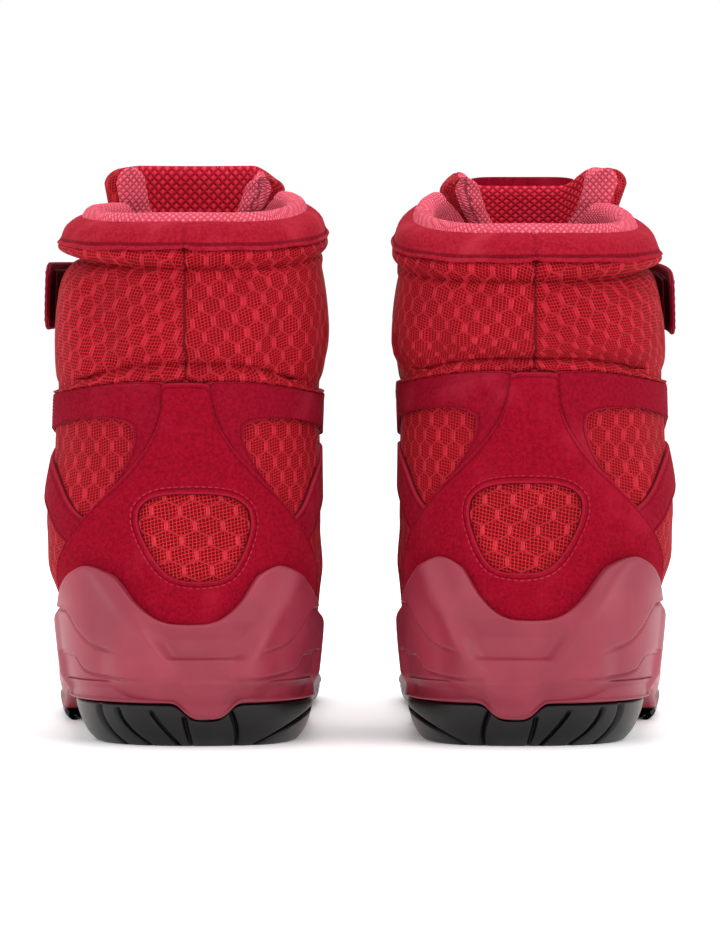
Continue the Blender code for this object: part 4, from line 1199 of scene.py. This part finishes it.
# Above the collar each boot's tongue stands in its own way. For its outer and its inner arm: how far
# it is moved outwards at its foot and at its top, and how much lower its top is; then the middle's dip
# and the height of the suede patch's top
TONGUE_STANCE = {
    -1: ((-0.5, -1.0, 0.8), (-8.5, -2.0, 4.2), 0.0, 193.5),
    1: ((-2.0, 5.0, 1.0), (-8.5, -4.5, 4.4), 7.0, 193.2),
}
TONGUE_COLUMNS = 60
TONGUE_SHARES = np.sin(np.linspace(-np.pi / 2, np.pi / 2, TONGUE_COLUMNS))
ARM_END = 17  # columns of the tongue's inner face that belong to an arm
MESH_START = 5  # columns of its outer face that the arm's knit wraps round


def tongue_ring(z, stance):
    """A closed section of the tongue: its inner face from one side to the other, then its outer."""
    t = TONGUE_SHARES
    thin = np.clip(1 - np.abs(t) ** 6, 0, 1) ** 0.5
    low = min(z, 172.0)
    half = 26 - 10 * float(smoothstep(92, 80, low))
    deeper = float(smoothstep(104, 126, low))
    edge, inside = -7.8 - 5.2 * deeper, -12.0 - 5.6 * deeper
    crown = edge + (-3.6 - edge) * float(smoothstep(76, 84, low))
    arc = t * half
    shoulder = max(float(THROAT(low)) - 1.8, 4)
    face = crown + (edge - crown) * smoothstep(shoulder - 2.6, shoulder + 0.4, np.abs(arc))
    middle = (face + inside) / 2
    thick = (face - inside) / 2 * thin
    c = from_front(arc, np.full(len(t), low))
    inner = place(c, low, middle - thick)
    outer = place(c, low, middle + thick)
    if z <= 160:
        return np.concatenate([inner, outer[::-1]])
    above, level = z - TONGUE_SPLIT, (z - 160) / (TONGUE_HEIGHT - 160)
    wide = float(np.interp(above, (-7, 0, 8, 16, 24, 30), (15, 17, 21, 24.5, 26, 25.5)))
    bow = float(np.interp(above, (-7, 0, 8, 18, 30), (6, 9, 15, 20, 21)))
    angle = t * math.radians(108)
    forward = 118.2 + 2.6 * above / 30 - 0.855 * bow * (1 - np.cos(angle))
    line = np.stack([wide * np.sin(angle), forward], -1)
    drop = stance[2] * smoothstep(0.66, 0.3, np.abs(t))
    for side, (foot, head, lower) in zip((1, -1), stance):
        line[:, 0] += side * smoothstep(0.45, 1.0, side * t) * (foot + (head - foot) * level)
        drop = drop + lower * smoothstep(0.45, 0.8, side * t)
    ahead = np.gradient(line, axis=0)
    ahead /= np.linalg.norm(ahead, axis=1, keepdims=True)
    across = np.stack([-ahead[:, 1], ahead[:, 0]], -1)
    puff = (3.4 + 4.6 * smoothstep(0.5, 0.9, np.abs(t))) * np.clip(1 - np.abs(t) ** 12, 0, 1) ** 0.5
    puff = puff * math.sqrt(max(1 - max((level - 0.84) / 0.16, 0) ** 2, 0.0004))
    seam = 0.7 * np.exp(-(((np.abs(t) - abs(t[MESH_START])) / 0.012) ** 2))
    hinge_x = float(on_last(1, TONGUE_SPLIT)[0])
    height = z - drop * level**1.5
    blend = float(smoothstep(160, 176, z))
    rings = []
    for side, below, inwards in ((-1, inner, 0.0), (1, outer, seam)):
        spot = line + side * across * (puff - inwards)[:, None]
        upper = np.stack([spot[:, 0] + hinge_x, spot[:, 1], height], -1)
        rings.append((below + (0, 0, z - low)) * (1 - blend) + upper * blend)
    return np.concatenate([rings[0], rings[1][::-1]])


def add_tongue(boot):
    stance = TONGUE_STANCE[boot.side]
    heights = np.concatenate([np.arange(77, 160, 2.5), np.arange(160, 190, 1.3),
                              np.linspace(190, TONGUE_HEIGHT, 14)])
    rings = np.stack([tongue_ring(z, stance) for z in heights])
    size = rings.shape[1]
    steps = np.linalg.norm(np.diff(rings, axis=1), axis=2)
    along = np.concatenate([np.zeros((len(rings), 1)), np.cumsum(steps, axis=1)], axis=1)
    along -= along[:, size // 4][:, None]
    faces = quads(len(heights), size, True)[:, ::-1]
    column = np.tile(np.arange(size), len(heights) - 1)
    part = {"points": rings, "cloth": (along, heights[:, None] + 0 * along)}
    outer = (column >= TONGUE_COLUMNS + MESH_START) & (column < size - 1 - MESH_START)
    arms = ~outer & ((column < ARM_END) | (column >= TONGUE_COLUMNS - 1 - ARM_END))
    ends = []
    for row, flip in ((0, False), (len(heights) - 1, True)):
        k = np.arange(size // 2 - 1)
        cap = np.stack([k, k + 1, size - 2 - k, size - 1 - k], -1) + row * size
        ends.append(cap[:, ::-1] if flip else cap)
    # the inner face takes the darker tongue knit: partly its own colour, partly painted shade deep in the
    # throat
    inside = {**part, "faces": np.concatenate([faces[~outer & ~arms], *ends])}
    outside = {**part, "faces": faces[outer], "material": "mesh"}
    sides = {**part, "faces": faces[arms], "material": "lining"}
    made = boot.piece("tongue_pad", [inside, outside, sides], "tongue", "lining", ["tongue", "tongue_top"],
                      body=None, padded=0.7)
    weld(made)
    hinge = boot.world(np.array([on_last(1, TONGUE_SPLIT)[0], 119.0, 0.0]))
    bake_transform(made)


def weld(made):
    """Joins the points that two parts of a piece share."""
    work = bmesh.new()
    work.from_mesh(made.data)
    bmesh.ops.remove_doubles(work, verts=work.verts, dist=1e-6)
    loose = [v for v in work.verts if not v.link_faces]
    bmesh.ops.delete(work, geom=loose, context="VERTS")
    work.to_mesh(made.data)
    work.free()


def add_tongue_patch(boot):
    """A suede patch sewn to the front of the tongue's free end."""
    reach = 0.37 if boot.side > 0 else 0.5
    t = np.linspace(-reach, reach, 40)
    stance = TONGUE_STANCE[boot.side]
    columns = []
    for z in np.linspace(172, stance[3], 24):
        outer = tongue_ring(min(z, 190.0), stance)[TONGUE_COLUMNS:][::-1]
        line = np.stack([np.interp(t, TONGUE_SHARES, outer[:, i]) for i in range(3)], -1)
        line[:, 1] += 0.9
        line[:, 2] = z - 0.8 * (np.abs(t) / reach) ** 6
        columns.append(line)
    front = np.stack(columns)
    thick = front - (0, 1.3, 0)
    rim_line = np.concatenate([front, thick[::-1], front[:1]])
    part = {"points": rim_line, "faces": quads(*rim_line.shape[:2])[:, ::-1]}
    sides = []
    for k in (0, -1):
        edge = np.stack([front[:, k], thick[:, k]])
        faces = quads(*edge.shape[:2])
        sides.append({"points": edge, "faces": faces if k else faces[:, ::-1]})
    boot.piece("tongue_patch_suede", [part, *sides], "suede", "suede", ["tongue_patch"], body="tongue")


# The lace and the ankle strap


def add_lace(boot):
    """A flat lace on the CAD model's route: across the throat at each pair of eyelets, then up."""
    route = []
    for k, z in enumerate(EYELET_HEIGHTS):
        gap = float(THROAT(z))
        bar = [(gap + 7, z, 5.3), (gap, z, 5.3), (gap - 5, z, 3.9), (0, z, 3.3), (5 - gap, z, 3.9),
               (-gap, z, 5.3), (-gap - 7, z, 5.3)]
        route += bar if k % 2 == 0 else bar[::-1]
    route = np.array(route)
    steps = np.linalg.norm(np.diff(route[:, :2], axis=0), axis=1)
    lengths = np.concatenate([[0], np.cumsum(steps)])
    at = np.arange(0, lengths[-1], 0.6)
    line = np.stack([np.interp(at, lengths, v) for v in route.T], -1)
    kernel = np.hanning(9)
    kernel /= kernel.sum()
    padded = np.concatenate([np.repeat(line[:1], 4, 0), line, np.repeat(line[-1:], 4, 0)])
    line = np.stack([np.convolve(v, kernel, "valid") for v in padded.T], -1)
    ahead = np.gradient(line[:, :2], axis=0)
    ahead /= np.linalg.norm(ahead, axis=1, keepdims=True) + 1e-9
    across = np.stack([-ahead[:, 1], ahead[:, 0]], -1)
    section = ((-2.8, -0.6), (-2.5, -0.15), (-1.5, 0), (0, 0.05), (1.5, 0), (2.5, -0.15), (2.8, -0.6),
               (2.5, -1.05), (1.5, -1.2), (0, -1.2), (-1.5, -1.2), (-2.5, -1.05))
    rows = []
    for reach, depth in section:
        spot = line[:, :2] + across * reach
        rows.append(place(from_front(spot[:, 0], spot[:, 1]), spot[:, 1], line[:, 2] + depth))
    points = np.stack(rows + rows[:1])
    run = np.broadcast_to(at[None, :], points.shape[:2])
    width = np.array([s[0] for s in section] + [section[0][0]])[:, None] + 0 * run
    part = {"points": points, "faces": quads(*points.shape[:2]), "cloth": (width, run)}
    boot.piece("lace_tape", [part], "lace", "webbing", ["lace"])


def tape(first, last, low, high, out, thick, columns, round_tip=0.0):
    """A part: a strap with rounded edges, closed all round."""
    turns = np.linspace(first, last, columns)
    length = np.linalg.norm(np.diff(place(turns, (low + high) / 2, out), axis=0), axis=1)
    run = np.concatenate([[0], np.cumsum(length)])
    shrink = np.ones(columns)
    if round_tip:
        shrink = np.sqrt(np.clip(1 - (1 - np.clip(run / round_tip, 0, 1)) ** 2, 0.02, 1)) * 0.45 + 0.55
    half = (high - low) / 2 * shrink
    middle = (low + high) / 2
    rows = []
    ring = [(-1, 0.5), (-0.985, 0.2), (-0.94, 0.05), (-0.84, 0.03), (-0.8, 0.12), (-0.76, 0.0), (-0.4, 0),
            (0, 0), (0.4, 0), (0.76, 0.0), (0.8, 0.12), (0.84, 0.03), (0.94, 0.05), (0.985, 0.2), (1, 0.5),
            (0.97, 0.85), (0.9, 1), (0.4, 1), (-0.4, 1), (-0.9, 1), (-0.97, 0.85)]
    ends = np.clip(np.minimum(run, run[-1] - run) / 0.8, 0, 1) ** 0.5
    for share, depth in ring:
        sunk = 0.5 + (depth - 0.5) * ends
        rows.append(place(turns, middle + half * share, out - thick * sunk))
    points = np.stack(rows + rows[:1])
    height = np.array([r[0] for r in ring] + [-1])[:, None]
    # edge is 1 on the tape's side walls: on suede it gives them painted shade, and a painted highlight on their
    # rounded front corners
    return {"points": points, "faces": quads(*points.shape[:2]),
            "cloth": (run[None, :] + 0 * height, middle + half[None, :] * height),
            "edge": np.clip(np.abs(height) - 0.9, 0, 0.1) * 10 + 0 * run[None, :]}


def add_strap(boot):
    part = tape(STRAP_TIP, STRAP_ROOT, STRAP_LOW, STRAP_HIGH, 5.0, 1.8, 260, 9.0)
    boot.piece("strap_band", [part], "suede_dark", "suede", ["ankle_strap"], body="strap")
    turns = np.linspace(STRAP_TIP + 0.02, STRAP_ROOT - 0.01, 300)
    for z in (STRAP_LOW + 2.3, STRAP_HIGH - 2.3):
        boot.stitch(turns, z + 0 * turns, 4.85, "strap")
    z = np.linspace(STRAP_LOW + 2.3, STRAP_HIGH - 2.3, 40)
    for turn in (STRAP_TIP + 0.02, STRAP_ROOT - 0.02):
        boot.stitch(turn + 0 * z, z, 4.98, "strap")
    low, high = STRAP_LOW + 1.5, STRAP_HIGH - 1.5
    part = tape(STRAP_TIP + 0.03, 0.62, low + 0.8, high - 0.8, 2.75, 0.85, 60)
    boot.piece("strap_hooks", [part], "loop", "webbing", ["hook_patch"], body="strap")
    part = tape(STRAP_TIP + 0.012, 0.72, low + 0.8, high - 0.8, 1.45, 0.9, 80)
    boot.piece("strap_loops", [part], "loop", "webbing", ["loop_patch"])
    part = tape(STRAP_ROOT - 0.04, STRAP_ROOT + 0.08, STRAP_LOW, STRAP_HIGH, 2.6, 1.8, 60)
    boot.piece("strap_base", [part], "suede_dark", "suede", ["strap_anchor"])


def add_stitches(boot):
    """Every stitch is a small rounded bar that lies in its groove."""
    bar = np.array([(-1.0, 0.05), (-0.8, 0.75), (-0.3, 1.0), (0.3, 1.0), (0.8, 0.75), (1.0, 0.05)])
    turns = np.linspace(0, 2 * np.pi, 6, endpoint=False)
    for (body, thread), rows in boot.stitches.items():
        middle, heading, up = (np.concatenate([row[i] for row in rows]) for i in range(3))
        side = np.cross(up, heading)
        side /= np.linalg.norm(side, axis=1, keepdims=True)
        points = []
        for along, wide in bar:
            for turn in turns:
                offset = heading * (along * 0.85) + side * (wide * 0.3 * math.cos(turn))
                points.append(middle + offset + up * (wide * 0.26 * math.sin(turn)))
        points = np.stack(points, 1)
        caps = [[0, 3, 2, 1], [0, 5, 4, 3], [30, 31, 32, 33], [30, 33, 34, 35]]
        one = np.concatenate([quads(len(bar), len(turns), True), caps])
        first = np.arange(len(middle))[:, None, None] * len(bar) * len(turns)
        part = {"points": points, "faces": (one[None] + first).reshape(-1, 4)}
        boot.piece(f"{body}_stitches_{thread}", [part], thread, "suede", body=body)


for boot in (Boot("left", -1), Boot("right", 1)):
    for add_pieces in (add_midsole, add_outsoles, add_sockliner, add_heel_mesh, add_quarters, add_vamp,
                       add_lining, add_collar, add_binding, add_heel_overlay, add_bands, add_eyestay,
                       add_toe_overlay, add_tongue, add_tongue_patch, add_lace, add_strap, add_stitches):
        add_pieces(boot)
    for node, material in (("shank_plate", "shank"), ("lasting_board", "board"), ("heel_counter", "board")):
        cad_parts[f"{boot.name}_{node}"].data.materials.clear()
        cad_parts[f"{boot.name}_{node}"].data.materials.append(MATERIALS[material])

# Floor, light and camera


def add_light(name, spot, target, size, power):
    lamp = bpy.data.lights.new(name, "AREA")
    lamp.shape, lamp.size, lamp.energy = "DISK", size, power
    made = bpy.data.objects.new(name, lamp)
    made.location = spot
    made.rotation_euler = (Vector(target) - Vector(spot)).to_track_quat("-Z", "Y").to_euler()
    bpy.context.scene.collection.objects.link(made)


def add_stage():
    paper = Finish("paper", 0.9, Specular_IOR_Level=0.0)
    shade = paper.noise(6, 2.0)
    colour = paper.mix(shade, "F7F7F7", "FDFDFD")
    paper.shader.inputs["Emission Color"].default_value = (1, 1, 1, 1)
    paper.shader.inputs["Emission Strength"].default_value = 0.14  # keeps the far floor white
    material = paper.finish(colour, paper.noise(300, 2.0), 0.00002)
    mesh = bpy.data.meshes.new("floor")
    mesh.from_pydata([(-4, -4, 0), (4, -4, 0), (4, 6, 0), (-4, 6, 0)], [], [(0, 1, 2, 3)])
    mesh.materials.append(material)
    floor = bpy.data.objects.new("floor", mesh)
    bpy.context.scene.collection.objects.link(floor)
    world = bpy.data.worlds.new("studio")
    world.use_nodes = True
    sky = world.node_tree.nodes["Background"]
    sky.inputs["Color"].default_value = (1, 1, 1, 1)
    sky.inputs["Strength"].default_value = 1.02
    bpy.context.scene.world = world
    add_light("key", (1.3, -1.8, 1.6), (0, 0, 0.1), 2.2, 21)
    add_light("fill", (-1.7, -1.5, 0.9), (0, 0, 0.1), 1.8, 6)
    add_light("top", (0, 0.6, 2.0), (0, 0, 0), 1.4, 22)
    lens = bpy.data.cameras.new("camera")
    lens.lens, lens.sensor_width, lens.clip_end = 6000 / 928 * 36, 36, 50
    camera = bpy.data.objects.new("camera", lens)
    camera.location = (0, -2.15, 0.155)
    camera.rotation_euler = (math.pi / 2 - math.atan(179 / 6000), 0, 0)
    bpy.context.scene.collection.objects.link(camera)
    bpy.context.scene.camera = camera
    bpy.context.scene.view_settings.view_transform = "Standard"


add_stage()
